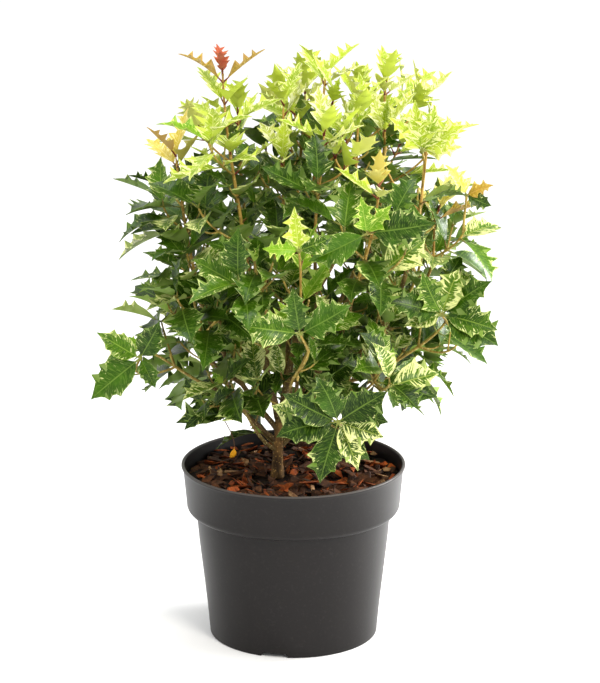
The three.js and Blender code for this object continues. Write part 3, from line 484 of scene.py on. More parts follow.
# Leaf masses on a bough's tip: name of both, tip of the leader, its slope there, leaf kind, side
# shoots, their length, seed
BOUGH_MASSES = [
    ("tall_left", (-57, -20, 482), 88, "bronze", 2, 47, 592),
    ("upper_left", (-97, -1, 416), 82, "amber", 3, 38, 876),
    ("left", (-87, -33, 314), 62, "dark", 3, 44, 3),
    ("top_centre", (27, 38, 476), 84, "lime", 4, 47, 4),
    ("front_top", (69, -63, 403), 88, "lime", 3, 46, 491),
    ("right_top", (109, -13, 434), 86, "lime", 4, 53, 374),
    ("top_right", (77, 36, 469), 84, "lime", 4, 56, 360),
    ("back_left_top", (-47, 75, 436), 82, "lime", 3, 51, 372),
    ("back_right_top", (57, 96, 447), 82, "lime", 3, 58, 741),
    ("back_top", (10, 90, 451), 82, "lime", 3, 51, 420),
    ("centre_left", (-8, 6, 457), 88, "lime", 3, 44, 246),
    ("mid_top", (54, 1, 455), 86, "lime", 3, 36, 886),
    ("centre_top", (25, -38, 441), 88, "lime", 2, 40, 120),
    ("low_left", (-124, -26, 257), 26, "dark", 4, 47, 10),
    ("centre_front", (-31, -76, 344), 84, "dark", 3, 43, 878),
    ("centre_light", (6, -85, 342), 80, "fresh", 3, 40, 72),
    ("front", (13, -98, 277), 74, "dark", 3, 38, 446),
    ("right_low", (77, -81, 262), 44, "dark", 3, 44, 690),
    ("right_front", (126, -36, 283), 56, "dark", 3, 51, 870),
    ("right", (121, 15, 366), 68, "amber", 4, 44, 828),
    ("right_back", (117, 67, 344), 58, "dark", 3, 50, 700),
    ("left_back", (-90, 53, 344), 54, "dark", 3, 58, 448),
    ("back_right", (102, 124, 305), 50, "dark", 3, 58, 88),
    ("back", (-12, 132, 326), 54, "dark", 3, 54, 22),
]
# Leaf masses on the trunk: name, share along the trunk, tip of the leader, slope at the start and
# at the tip, bare share of the leader, leaf kind, side shoots, their length, seed
TRUNK_MASSES = [
    ("front_low", 0.62, (39, -91, 222), 34, 26, 0.55, "dark", 2, 34, 858),
    ("low_left_front", 0.44, (-58, -41, 232), 26, 40, 0.45, "dark", 3, 42, 27),
    ("low_back_left", 0.5, (-95, 89, 238), 30, 26, 0.4, "dark", 3, 54, 369),
    ("low_back", 0.68, (2, 112, 232), 34, 24, 0.4, "dark", 3, 46, 29),
    ("low_back_right", 0.46, (78, 83, 248), 30, 26, 0.4, "dark", 3, 57, 456),
    ("low_right", 0.56, (113, 27, 247), 30, 30, 0.4, "dark", 3, 40, 407),
    ("low_tuft", 0.5, (-27, -2, 177), 30, 40, 0.1, "dark", 0, 20, 882),
]
MASSES = [(name, name, 1, tip, 0, slope, 0, *rest) for name, tip, slope, *rest in BOUGH_MASSES]
MASSES += [(name, "trunk", *rest) for name, *rest in TRUNK_MASSES]

# Length of the young growth below the tip, and the spacing of its leaf pairs
KINDS = {
    "bronze": (80, (9, 27, 22, 20)),
    "lime": (44, (9, 34, 20)),
    "amber": (26, (9, 34, 20)),
    "fresh": (44, (9, 34, 20)),
    "dark": (0, (11,)),
}


def unit(vector):
    return vector / np.linalg.norm(vector)


def varied(shares, choice):
    """A share from its least and what the whole of a choice adds."""
    return shares[0] + shares[1] * choice


def arc(start, start_direction, end, end_direction, steps):
    """Points of a cubic curve that leaves along one direction and arrives along another."""
    reach = np.linalg.norm(end - start) * BEND
    a, b = start + reach * start_direction, end - reach * end_direction
    t = np.linspace(0, 1, steps + 1)[:, None]
    return (1 - t) ** 3 * start + 3 * (1 - t) ** 2 * t * a + 3 * (1 - t) * t * t * b + t ** 3 * end


def heading(start, end, slope):
    """The direction from start towards end on the level, raised to a slope in degrees."""
    flat = unit(np.array([end[0] - start[0], end[1] - start[1], 0.0]))
    return flat * math.cos(math.radians(slope)) + UP * math.sin(math.radians(slope))


def point_at(line, share):
    steps = share * (len(line) - 1)
    i = min(int(steps), len(line) - 2)
    return line[i] + (line[i + 1] - line[i]) * (steps - i)


def direction_at(line, share):
    i = min(int(share * (len(line) - 1)), len(line) - 2)
    return unit(line[i + 1] - line[i])


def frames_along(line):
    """Axis and the direction square to it at each point, carried along the line without twist."""
    first = unit(line[1] - line[0])
    guide = np.array([0.3, 0.9, 0.1]) if abs(first[2]) > 0.9 else UP
    across = unit(np.cross(first, guide))
    steps = np.diff(line, axis=0)
    steps /= np.linalg.norm(steps, axis=1)[:, None]
    frames = []
    for i in range(len(line)):
        axis = unit(steps[max(i - 1, 0)] * (i > 0) + steps[min(i, len(steps) - 1)] * (i < len(steps)))
        across = unit(across - axis * across.dot(axis))
        frames.append((axis, across))
    return frames


def frame_at(shoot, share):
    """Axis and the direction square to it at a share of a shoot's length."""
    steps = share * (len(shoot["line"]) - 1)
    i = min(int(steps), len(shoot["line"]) - 2)
    (axis_a, across_a), (axis_b, across_b) = shoot["frames"][i:i + 2]
    axis = unit(axis_a + (axis_b - axis_a) * (steps - i))
    across = across_a + (across_b - across_a) * (steps - i)
    return axis, unit(across - axis * across.dot(axis))


def spun_round(here, angle):
    """The direction square to the axis of frame_at, turned about that axis."""
    axis, across = here
    return across * math.cos(angle) + np.cross(axis, across) * math.sin(angle)


def branch_ends(base, axis, out, size, leaving, rising):
    """Start and tip of a branch with its directions there, as arc takes them.

    It leaves by shares of its parent's axis and of the way out, and rises by shares of that and of up.
    """
    start = unit(axis * leaving[0] + out * leaving[1])
    end = unit(start * rising[0] + UP * rising[1] + axis * 0.2)
    tip = base + unit(start * 0.75 + end * 0.45) * size
    return base, start, tip, end


def grow_limbs():
    """Trunk and boughs, each a curve with its radius at the start and at the tip."""
    radii = TRUNK["radii"]
    trunk = np.linspace(TRUNK["foot"], TRUNK["fork"], len(radii))
    limbs = {"trunk": {"line": trunk, "r0": radii[1], "r1": radii[-1]}}
    for name, parent, share, tip, start_slope, end_slope, r0, r1 in BOUGHS:
        start, end = point_at(limbs[parent]["line"], share), np.array(tip, float)
        ends = (start, heading(start, end, start_slope), end, heading(start, end, end_slope))
        limbs[name] = {"ends": ends, "line": arc(*ends, BOUGH_STEPS), "r0": r0, "r1": r1}
    return limbs


def make_shoot(mass, kind, seed, number, ends, steps, bare, r0, r1):
    """A shoot with the places of its leaf pairs, in millimetres from its start, tip first."""
    line = arc(*ends, steps)
    full = np.linalg.norm(np.diff(line, axis=0), axis=1).sum()
    flush, spacing = KINDS[kind]
    young = number == 0 or (kind == "lime" and line[-1][2] > SIDE_FLUSH_HEIGHT)
    if not (young and flush):
        flush, spacing = KINDS["dark"]
    first = max(bare * full, BARE_FOOT["side" if number else "leader"])
    nodes = []
    back = 0.0
    while full - back > first:
        rank = len(nodes)
        nodes.append(full - back)
        step = spacing[rank] if rank < len(spacing) else NODE_SPACING
        back += step * varied(NODE_JITTER, draw(seed, 5, number, rank))
    shoot = {"mass": mass, "kind": kind, "seed": seed, "number": number, "line": line, "full": full}
    shoot.update(ends=ends, flush=flush, nodes=nodes, r0=r0, r1=r1, frames=frames_along(line))
    shoot.update(turn=draw(seed, 6, number) * math.pi, used=set())
    return shoot


def grow_leaders(limbs):
    """The leading shoot of each leaf mass, with the centre and weight of the space it keeps to."""
    leaders = []
    for mass, row in enumerate(MASSES):
        _, limb_name, share, tip, start_slope, end_slope, bare, kind, _, _, seed = row
        limb, end = limbs[limb_name], np.array(tip, float)
        start = point_at(limb["line"], share)
        on_tip = share == 1
        way = direction_at(limb["line"], 1) if on_tip else heading(start, end, start_slope)
        if on_tip:
            start = start + GAP * way
        ends = (start, way, end, heading(start, end, end_slope))
        radius = limb["r1"] * LEADER_TAPER if on_tip else TRUNK_LEADER_RADIUS
        leader = make_shoot(mass, kind, seed, 0, ends, SHOOT_STEPS, bare, radius, LEADER_TIP_RADIUS)
        leader["centre"] = point_at(leader["line"], bare + (1 - bare) * SPACE_CENTRE)
        leader["weight"] = (leader["full"] * (1 - bare) * SPACE_REACH + SPACE_LEAST) ** 2
        leaders.append(leader)
    return leaders


limbs = grow_limbs()
leaders = grow_leaders(limbs)
centres = np.array([leader["centre"] for leader in leaders])
weights = np.array([leader["weight"] for leader in leaders])


def power_distances(points):
    """Squared distances from the masses' centres less the weights of their spaces, one row a point."""
    return ((points[:, None] - centres) ** 2).sum(2) - weights


def depth_in_space(points, mass):
    """How far points lie inside the space of a mass, negative where they are in a neighbour's."""
    squares = power_distances(points)
    apart = np.linalg.norm(centres - centres[mass], axis=1)
    apart[mass] = 1.0
    depth = (squares - squares[:, mass:mass + 1]) / (2 * apart)
    depth[:, mass] = np.inf
    return depth.min(1)


def distance_to_segments(points, starts, ends):
    """Distances of points to segments, one row a point."""
    way = ends - starts
    share = ((points[:, None] - starts) * way).sum(2) / (way ** 2).sum(1)
    nearest = starts + np.clip(share, 0, 1)[..., None] * way
    return np.linalg.norm(points[:, None] - nearest, axis=2)


def grow_sides(limbs, leaders):
    """Side shoots, crosswise to the older leaf pairs and round their leader by the golden angle."""
    shoots = list(leaders)
    for mass, leader in enumerate(leaders):
        count, reach = MASSES[mass][8:10]
        seed, full, nodes = leader["seed"], leader["full"], leader["nodes"]
        turn = draw(seed, 1) * 2 * math.pi
        seats = [node for node in reversed(nodes) if full - node > SIDE_FROM_TIP]
        for k in range(count if seats else 0):
            position = seats[int((k + 0.5 * draw(seed, 2, k)) * len(seats) / count)]
            rank, share = nodes.index(position), position / full
            base, here = point_at(leader["line"], share), frame_at(leader, share)
            quarters = [spun_round(here, leader["turn"] + (f + 1) * math.pi / 2) for f in range(4)]
            others = [limb for limb in [*limbs.values(), *shoots] if limb is not leader]
            for attempt in range(SIDE_TRIES):
                out = spun_round(here, turn + k * GOLDEN_ANGLE + (attempt // 2) * SIDE_TURN)
                looks = [quarter.dot(out) for quarter in quarters]
                face = looks.index(max(looks))
                if (face - rank) % 2 or (position, face) in leader["used"]:
                    continue
                size = reach * varied(SIDE_BY_SHARE, share) * varied(SIDE_JITTER, draw(seed, 3, k))
                size *= SIDE_SHORTENING if attempt % 2 else 1
                ends = branch_ends(base, here[0], out, size, SIDE_LEAVING, SIDE_RISING)
                path = arc(*ends, SIDE_STEPS)
                low = path[-1][2] < LOWEST_LEAF + SIDE_LIFT
                if low or depth_in_space(path[3:], mass).min() < SPACE_MARGIN:
                    continue
                room = min(
                    distance_to_segments(path[2:], other["line"][:-1], other["line"][1:]).min() - other["r0"]
                    for other in others
                )
                if room <= SIDE_CLEARANCE:
                    continue
                shoots.append(make_shoot(mass, leader["kind"], seed, k + 1, ends, SIDE_STEPS, 0, *SIDE_RADII))
                leader["used"].add((position, face))
                break
    return shoots


shoots = grow_sides(limbs, leaders)


# Leaf places
# Leaves stand in pairs, each pair a right angle from the last. Each takes the first way to stand
# that is free of the pot, of wood and of other leaves, and is left off where there is none.
LEAF_WIDTH = 0.52
LEAF_FOLD = 0.3
LEAF_OVERREACH = 9
STEEPEST_LEAF = -0.8
NEAR_LEAF = 66
NEAR_LIMB = 60
RIM_CLEARANCE = {"above": 5, "inside": 13, "outside": 7}
PAIR_JITTER = math.radians(16)
# Lengths and angles of the first pairs from the tip and how far they spread, and the arch
YOUNG = {"size": (36, 42, 46), "size_spread": 9, "angle": (30, 46, 56), "angle_spread": 16, "arch": 0.08}
MATURE = {"size": (42, 46, 48), "size_spread": 13, "angle": (44, 62, 68), "angle_spread": 16, "arch": 0.15}
# How much a leaf's upper face turns along its shoot, up, and out of the crown
YOUNG_FACING = (1, 0.2, 0.1)
MATURE_FACING = (0.5, 0.55, 0.55)
# Clearance of a leaf from the leaves of its own mass and of others, then from the wood of both
SOLID_ROOMS = (3.2, 5.2, 1.2, 1.6)
# Ways to stand: change of the angle, turn, and share of the full length
TRIES = [
    (0, 0, 1), (-14, 18, 0.97), (-14, -18, 0.97), (4, 34, 0.94), (4, -34, 0.94),
    (-28, 0, 0.88), (-8, 52, 0.88), (-8, -52, 0.88), (-38, 24, 0.8), (-38, -24, 0.8),
]
MARGIN = ((0.4, 0.5), (0.54, 0.3), (0.74, 0.42))
SAMPLE_ROWS = (0.22, 0.3, 0.38, 0.46, 0.54, 0.62, 0.7, 0.78, 0.86, 0.94)
SAMPLE_COLUMNS = (-0.8, -0.4, 0, 0.4, 0.8)


def half_width(s):
    """Half width of a plain blade at a share of its length, in shares of the leaf's width."""
    blade = np.clip((s - 0.14) / 0.86, 0, 1)
    return 0.5 * np.sin(np.pi * blade ** 0.8) ** 0.75


SAMPLES = np.array([(s, c * half_width(s)) for s in SAMPLE_ROWS for c in SAMPLE_COLUMNS])
OUTLINE = np.array([*MARGIN, (1, 0), *[(s, -w) for s, w in reversed(MARGIN)]])
PROBES = np.concatenate([SAMPLES, OUTLINE])
MIDDLE = SAMPLE_ROWS.index(0.54) * len(SAMPLE_COLUMNS) + len(SAMPLE_COLUMNS) // 2


def plan_leaves(shoots, young_shape=YOUNG, mature_shape=MATURE):
    """Every leaf that a shoot could carry: where it springs from, and how it wants to stand."""
    plan = []
    for shoot in shoots:
        seed, number, full = shoot["seed"], shoot["number"], shoot["full"]
        for rank, position in enumerate(shoot["nodes"]):
            here, root = frame_at(shoot, position / full), point_at(shoot["line"], position / full)
            young = full - position < shoot["flush"]
            shape, step = (young_shape if young else mature_shape), min(rank, 2)
            node = {"shoot": shoot, "mass": shoot["mass"], "kind": shoot["kind"], "rank": rank, "root": root}
            node.update(young=young, share=position / full, axis=here[0], arch=shape["arch"])
            for half in (0, 1):
                keys = (number, rank, half)
                turn = shoot["turn"] + rank * math.pi / 2 + half * math.pi
                plan.append({
                    **node, "out": spun_round(here, turn + PAIR_JITTER * (draw(seed, 7, *keys) - 0.5)),
                    "size": shape["size"][step] + shape["size_spread"] * draw(seed, 8, *keys),
                    "angle": shape["angle"][step] + shape["angle_spread"] * draw(seed, 9, *keys),
                    "luck": draw(seed, 10, *keys),
                })
    return plan


def stand_leaf(leaf, angle_change, turn, shrink):
    """The leaf with its axes: along its midrib, out of its upper face, and across."""
    axis, turn, angle = leaf["axis"], math.radians(turn), math.radians(leaf["angle"] + angle_change)
    out = leaf["out"] * math.cos(turn) + np.cross(axis, leaf["out"]) * math.sin(turn)
    along = unit(axis * math.cos(angle) + out * math.sin(angle))
    by_shoot, by_light, by_crown = YOUNG_FACING if leaf["young"] else MATURE_FACING
    face = unit(axis * by_shoot + UP * by_light + unit(leaf["root"] - CROWN_HEART) * by_crown)
    normal = face - along * face.dot(along)
    if np.linalg.norm(normal) < 0.2:
        normal = axis - along * axis.dot(along)
    normal = unit(normal)
    side = np.cross(normal, along)
    return {**leaf, "along": along, "normal": normal, "side": side, "size": leaf["size"] * shrink}


def arched(s, size, arch):
    """How far an arched midrib has reached and dropped at a share of its length."""
    return size * (s - 0.35 * arch * s ** 3), size * arch * (s * s - 0.35 * s)


def blade_points(leaf, s, w):
    """Points of a blade from their share of its length and of its width."""
    width = leaf["size"] * LEAF_WIDTH
    reach, drop = arched(s, leaf["size"], leaf["arch"])
    rise = width * LEAF_FOLD * np.abs(w) - drop
    points = leaf["root"] + np.outer(reach, leaf["along"]) + np.outer(rise, leaf["normal"])
    return points + np.outer(width * w, leaf["side"])


def hits_pot(points):
    """Whether points touch the mulch or the pot's rim."""
    radius = np.hypot(points[:, 0], points[:, 1])
    least, most = POT_RADIUS - RIM_CLEARANCE["inside"], POT_RADIUS + RIM_CLEARANCE["outside"]
    on_rim = (points[:, 2] < POT_HEIGHT + RIM_CLEARANCE["above"]) & (radius > least) & (radius < most)
    return ((points[:, 2] < LOWEST_LEAF) | on_rim).any()


def segments_of(limbs):
    """Every straight stretch of the limbs, with its radius and the limb that it belongs to."""
    rows = []
    for limb in limbs:
        steps = len(limb["line"]) - 1
        for i, (start, end) in enumerate(zip(limb["line"], limb["line"][1:])):
            radius = limb["r0"] + (limb["r1"] - limb["r0"]) * i / steps
            rows.append((id(limb), limb.get("mass", -1), start, end, radius))
    owners, masses, starts, ends, radii = (np.array(column) for column in zip(*rows))
    return {
        "limbs": owners, "mass": masses, "starts": starts, "ends": ends, "radii": radii,
        "middles": (starts + ends) / 2,
    }


def clear_of_limbs(leaf, samples, segments, family_room, other_room):
    """Whether a blade is clear of the wood; close to its root its own mass's wood may be nearer."""
    near = np.linalg.norm(segments["middles"] - samples[MIDDLE], axis=1) <= NEAR_LIMB
    near &= segments["limbs"] != id(leaf["shoot"])
    family = segments["mass"] == leaf["mass"]
    root_samples = 2 * len(SAMPLE_COLUMNS)
    for group, room, first in ((near & family, family_room, root_samples), (near & ~family, other_room, 0)):
        if not group.any():
            continue
        starts, ends = segments["starts"][group], segments["ends"][group]
        distances = distance_to_segments(samples[first:len(SAMPLES)], starts, ends)
        if (distances <= segments["radii"][group] + room).any():
            return False
    return True


def crowded(leaf, probes, placed, family_room, neighbour_room):
    """Whether a blade stands too near to the leaves that are there already."""
    if not placed:
        return False
    middles = np.array([other["probes"][MIDDLE] for other in placed])
    near = np.nonzero(np.linalg.norm(middles - probes[MIDDLE], axis=1) < NEAR_LEAF)[0]
    if not len(near):
        return False
    others = np.array([placed[n]["probes"] for n in near])
    gaps = ((probes[len(SAMPLE_COLUMNS):, None, None] - others) ** 2).sum(3).min((0, 2))
    family = np.array([placed[n]["mass"] == leaf["mass"] for n in near])
    return (gaps < np.where(family, family_room, neighbour_room) ** 2).any()


def place_leaves(plan, segments, placed, rooms, tries, allowed):
    """Each planned leaf takes the first free way to stand; a leaf that finds none is left off."""
    placed = list(placed)
    for planned in sorted(plan, key=lambda leaf: -leaf["share"]):
        for way_to_stand in tries:
            leaf = stand_leaf(planned, *way_to_stand)
            if leaf["along"][2] < STEEPEST_LEAF:
                continue
            probes = blade_points(leaf, PROBES[:, 0], PROBES[:, 1])
            if hits_pot(probes) or not allowed(leaf, probes):
                continue
            if not clear_of_limbs(leaf, probes, segments, *rooms[2:]):
                continue
            if not crowded(leaf, probes, placed, *rooms[:2]):
                placed.append({**leaf, "probes": probes})
                break
    return placed


def within_space(leaf, probes):
    """Whether the outline stays in the mass's own space, but for a small overreach."""
    return depth_in_space(probes[len(SAMPLES):], leaf["mass"]).min() >= -LEAF_OVERREACH


wood = segments_of([*limbs.values(), *shoots])
leaves = place_leaves(plan_leaves(shoots), wood, [], SOLID_ROOMS, TRIES, within_space)


# Finer growth
# Short twigs from the buds of boughs and of older leaf pairs, carried on by the same rule, and
# the small pairs that unfold at the tips. They fill the spaces of the masses, not the sky.
TWIG_STEPS = 3
TWIG_SPACING = 23
TWIG_TRIES = 5
TWIG_TURN = math.radians(65)
TWIG_ROOM = 2.5
TWIG_LIFT = 12
TWIG_LEAVING = (0.5, 0.9)
TWIG_RISING = (0.6, 0.6)
TWIG_RADII = (0.8, 0.6)
FIRST_TWIG_NUMBER = 100
MOST_TWIGS = 40
BOUGH_TWIG_FOOT = 0.22
BOUGH_TWIG_SPAN = 0.7
BOUGH_TWIG_LENGTHS = (20, 40)
BUD_TWIG_LENGTHS = (12, 24)
BOUGH_TWIG_SEED = 301
BUD_TWIG_SEED = 302
SMALL = {"size": (24, 31, 34), "size_spread": 12, "angle": (40, 58, 64), "angle_spread": 18, "arch": 0.14}
UNFOLDING = {"size": (13, 13, 13), "size_spread": 6, "angle": (12, 12, 12), "angle_spread": 14, "arch": 0.05}
UNFOLDING_INSET = 1.5
UNFOLDING_ROOMS = (0.5, 2, 0, 1)
SKIPPED_ROOMS = (1.4, 2.4, 0.6, 1.0)
TWIG_LEAF_ROOMS = (1.4, 2.0, 0.6, 1.0)
REACH_LIMIT = 2600.0
BOX_LOW = np.array(cad_box[0]) / MM
BOX_HIGH = np.array(cad_box[1]) / MM


def within_crown(leaf, probes):
    """Whether a blade stays in the solids' box and near the spaces of the masses."""
    if (probes.min(0) <= BOX_LOW).any() or (probes.max(0) >= BOX_HIGH).any():
        return False
    return power_distances(probes).min(1).max() < REACH_LIMIT


def grow_twigs(parents, position_lists, lengths, seed):
    """Short twigs from the parents, one for each position, turned by the golden angle."""
    twigs = []
    for p, (parent, positions) in enumerate(zip(parents, position_lists)):
        apart = wood["limbs"] != id(parent)
        starts, ends, radii = wood["starts"][apart], wood["ends"][apart], wood["radii"][apart]
        for k, share in enumerate(positions):
            base, here = point_at(parent["line"], share), frame_at(parent, share)
            turn = 2 * math.pi * draw(seed, 20, p) + k * GOLDEN_ANGLE
            for attempt in range(TWIG_TRIES):
                out = spun_round(here, turn + attempt * TWIG_TURN)
                size = lengths[0] + (lengths[1] - lengths[0]) * draw(seed, 21, p, k, attempt)
                twig_ends = branch_ends(base, here[0], out, size, TWIG_LEAVING, TWIG_RISING)
                path = arc(*twig_ends, TWIG_STEPS)
                room = (distance_to_segments(path[1:], starts, ends) - radii).min()
                if path[-1][2] < LOWEST_LEAF + TWIG_LIFT or room < TWIG_ROOM:
                    continue
                nearness = power_distances(path[-1:])[0]
                if nearness.min() > REACH_LIMIT:
                    continue
                mass = parent.get("mass", int(nearness.argmin()))
                number = FIRST_TWIG_NUMBER + MOST_TWIGS * p + k
                twigs.append(make_shoot(mass, "dark", seed, number, twig_ends, TWIG_STEPS, 0, *TWIG_RADII))
                break
    return twigs


def seat_of(leaf):
    """What tells a leaf's place from every other place."""
    return leaf["mass"], leaf["shoot"]["number"], leaf["rank"], tuple(leaf["out"])


boughs = [limb for name, limb in limbs.items() if name != "trunk"]
bough_positions = []
for bough in boughs:
    bough["frames"] = frames_along(bough["line"])
    count = max(2, round(np.linalg.norm(bough["line"][-1] - bough["line"][0]) / TWIG_SPACING))
    bough_positions.append([BOUGH_TWIG_FOOT + BOUGH_TWIG_SPAN * (k + 0.5) / count for k in range(count)])
bud_positions = []
for shoot in shoots:
    young_part = max(SIDE_FROM_TIP, shoot["flush"])
    older_nodes = [node for node in shoot["nodes"] if shoot["full"] - node > young_part]
    bud_positions.append([node / shoot["full"] for node in older_nodes])
twigs = grow_twigs(boughs, bough_positions, BOUGH_TWIG_LENGTHS, BOUGH_TWIG_SEED)
twigs += grow_twigs(shoots, bud_positions, BUD_TWIG_LENGTHS, BUD_TWIG_SEED)
all_wood = segments_of([*limbs.values(), *shoots, *twigs])

opening_tips = []
for shoot in shoots:
    if shoot["number"] == 0 or shoot["flush"]:
        tip_node = shoot["full"] - UNFOLDING_INSET
        opening_tips.append({**shoot, "nodes": [tip_node], "turn": shoot["turn"] + math.pi / 2})
unfolding = [{**leaf, "rank": -1} for leaf in plan_leaves(opening_tips, UNFOLDING, UNFOLDING)]
leaves = place_leaves(unfolding, all_wood, leaves, UNFOLDING_ROOMS, TRIES[:1], within_crown)
filled = {seat_of(leaf) for leaf in leaves}
skipped = [leaf for leaf in plan_leaves(shoots) if seat_of(leaf) not in filled]
leaves = place_leaves(skipped, all_wood, leaves, SKIPPED_ROOMS, TRIES, within_crown)
twig_leaves = plan_leaves(twigs, SMALL, SMALL)
leaves = place_leaves(twig_leaves, all_wood, leaves, TWIG_LEAF_ROOMS, TRIES, within_crown)


# Wood
# Trunk and boughs in brown bark with pale lenticels, twigs and this year's shoots in tan bark.
# Tubes run along each limb's curve: bark swells unevenly, and shoots thicken at each leaf pair.
TRUNK_SIDES = 28
TRUNK_RINGS = 34
BOUGH_SIDES = 12
BOUGH_RINGS = 44
TWIG_SIDES = 8
TWIG_RINGS = 24
# How coarse and how deep the bark's swell is
TRUNK_SWELL = (0.16, 0.12)
BOUGH_SWELL = (0.3, 0.14)
BARK_DEPTH = 0.2
FLUTES = 5
FLUTE_DEPTH = 0.09
FLUTE_FADE = 6
COLLAR_RINGS = 5
COLLAR_SWELL = 1.25
JOINT_SWELL = 0.28
JOINT_LENGTH = 2.0
BUD_LENGTH = 3.2
BUD_SWELL = 1.35
SHOOT_SINK = 1.5
TIP_GROWTH = 7.0
TIP_OVERLAP = 3
# Painted shade on boughs and twigs: their bark turns to a darker brown below this height in metres, fully so
# one fade lower.
BARK_SHADE_TOP = 0.26
BARK_SHADE_FADE = 0.09
STEM_START = np.array([0.0, 14.0, -10.0])
STEM_RADII = (1.1, 0.9)
# Rosettes that open to the front: the mass that each belongs to, its middle, and each leaf's turn
# from the right in degrees, its length and its colour
ROSETTES = [
    ("front_low", (36.4, -100, 216), [
        (180, 58, "dark"), (152, 57, "dark"), (105, 50, "dark"), (40, 54, "dark"), (-14, 44, "marbled"),
        (-62, 47, "marbled"), (-108, 57, "dark"),
    ]),
    ("right_front", (121, -62, 296), [
        (157, 52, "dark"), (118, 46, "mid"), (74, 48, "marbled"), (45, 56, "dark"), (-8, 52, "mid"),
        (-26, 60, "dark"), (195, 36, "marbled"),
    ]),
    ("low_left", (-126, -48, 255), [
        (146, 47, "mid"), (218, 57, "dark"), (62, 42, "dark"), (-62, 32, "dark"),
    ]),
    ("centre_light", (4.8, -104, 360), [(95, 42, "lime"), (170, 34, "fresh"), (22, 34, "mid")]),
    ("front_top", (59, -96, 372), [
        (205, 56, "dark"), (12, 62, "dark"), (100, 36, "fresh"), (58, 36, "fresh"),
    ]),
    ("front", (5.6, -104, 291), [(165, 54, "mid"), (98, 46, "dark"), (31, 54, "dark")]),
    ("right_top", (143, -10, 384), [(116, 37, "amber"), (28, 28, "bronze"), (-24, 26, "dark")]),
    ("right_top", (105, -26, 424), [
        (124, 46, "lime"), (98, 50, "lime"), (72, 46, "lime"), (40, 48, "lime"), (14, 38, "cream"),
    ]),
]


def tube_template(sides, steps):
    """Faces of a closed tube, made by extruding a circle, its corners numbered ring by ring."""
    bm = bmesh.new()
    bmesh.ops.create_circle(bm, cap_ends=True, segments=sides, radius=1)
    edges = bm.edges[:]
    for _ in range(steps):
        made = bmesh.ops.extrude_edge_only(bm, edges=edges)["geom"]
        moved = [part for part in made if isinstance(part, bmesh.types.BMVert)]
        bmesh.ops.translate(bm, verts=moved, vec=(0, 0, 1))
        edges = [part for part in made if isinstance(part, bmesh.types.BMEdge) and part.is_boundary]
    bmesh.ops.contextual_create(bm, geom=edges)
    bmesh.ops.recalc_face_normals(bm, faces=bm.faces[:])
    numbers = {}
    for vert in bm.verts:
        side = round((math.atan2(vert.co.y, vert.co.x) / (2 * math.pi) - 0.25) * sides) % sides
        numbers[vert] = round(vert.co.z) * sides + side
    faces = [[numbers[vert] for vert in face.verts] for face in bm.faces]
    bm.free()
    return faces


def joined(name, faces, copies, **attributes):
    """One mesh of many copies of a template's faces; attributes hold a number for every corner."""
    size = copies.shape[1]
    mesh = bpy.data.meshes.new(name)
    every_face = [[v + size * i for v in face] for i in range(len(copies)) for face in faces]
    mesh.from_pydata(copies.reshape(-1, 3) * MM, [], every_face)
    mesh.shade_smooth()
    for key, values in attributes.items():
        layer = mesh.attributes.new(key, "FLOAT", "POINT")
        spread = np.broadcast_to(values, copies.shape[:2])
        layer.data.foreach_set("value", spread.astype(np.float32).ravel())
    return mesh


def tube_points(lines, radii, sides):
    """Corners of tubes along lines of equal count, each ring square to its line."""
    angles = 2 * np.pi * np.arange(sides) / sides
    cos, sin = np.cos(angles)[None, :, None], np.sin(angles)[None, :, None]
    copies = []
    for line, radius in zip(lines, radii):
        frames = frames_along(line)
        across = np.array([across for _, across in frames])
        third = np.array([np.cross(*frame_here) for frame_here in frames])
        ring = cos * across[:, None] + sin * third[:, None]
        copies.append((line[:, None] + ring * radius.reshape(len(line), -1, 1)).reshape(-1, 3))
    return np.array(copies)


def tubes(name, lines, radii, sides):
    """One mesh of tubes along lines; a radius is one number for each ring or for each corner."""
    return joined(name, tube_template(sides, len(lines[0]) - 1), tube_points(lines, radii, sides))


def roughened(line, radius, sides, scale, depth):
    """Radii with the uneven swell of bark, one for each corner of each ring."""
    places = [Vector(point * scale) for point in tube_points([line], [radius], sides)[0]]
    swell = np.array([noise.noise(place) + 0.5 * noise.noise(place * 2.7) for place in places])
    return radius[:, None] * (1 + depth * swell.reshape(len(line), sides))


def stem_bark(name, dark, light, fleck, scale, foot=None):
    """Thin bark: two browns in patches drawn out along the stem, with small raised pale flecks.

    Limbs that start low are laid over with the foot's darker colour there: painted shade low in the crown.
    """
    material, tree, shader = new_material(name, Roughness=0.7, Specular_IOR_Level=0.35)
    place = add_node(tree, "TexCoord", {}, output="Object")
    drawn = add_node(tree, "Mapping", {"Vector": place, "Scale": (scale, scale, scale * 0.4)})
    patches = add_node(tree, "TexNoise", {"Vector": drawn, "Scale": 1.0, "Detail": 5.0})
    base = laid_over(tree, colour(dark), colour(light), patches, 0.35, 0.65)
    # Painted shade: below a height the bark is laid over with the darker foot colour.
    if foot:
        height = add_node(tree, "SeparateXYZ", {0: place}, output=2)
        fade = (BARK_SHADE_TOP - BARK_SHADE_FADE, BARK_SHADE_TOP)
        base = laid_over(tree, base, colour(foot), height, *fade, least=0.85, most=0.0)
    spots = add_node(tree, "TexVoronoi", {"Vector": place, "Scale": 420.0})
    shown = add_node(tree, "MapRange", {0: spots, 1: 0.16, 2: 0.3, 3: 0.8, 4: 0.0})
    flecked = add_node(tree, "Mix", {0: shown, 6: base, 7: colour(fleck)}, **COLOUR_MIX)
    relief = add_node(tree, "Bump", {"Height": patches, "Strength": 0.6, "Distance": 0.5 * MM})
    specks = {"Height": shown, "Strength": 0.5, "Distance": 0.3 * MM, "Normal": relief}
    raised = add_node(tree, "Bump", specks)
    connect(tree, shader, Base_Color=flecked, Normal=raised)
    return material


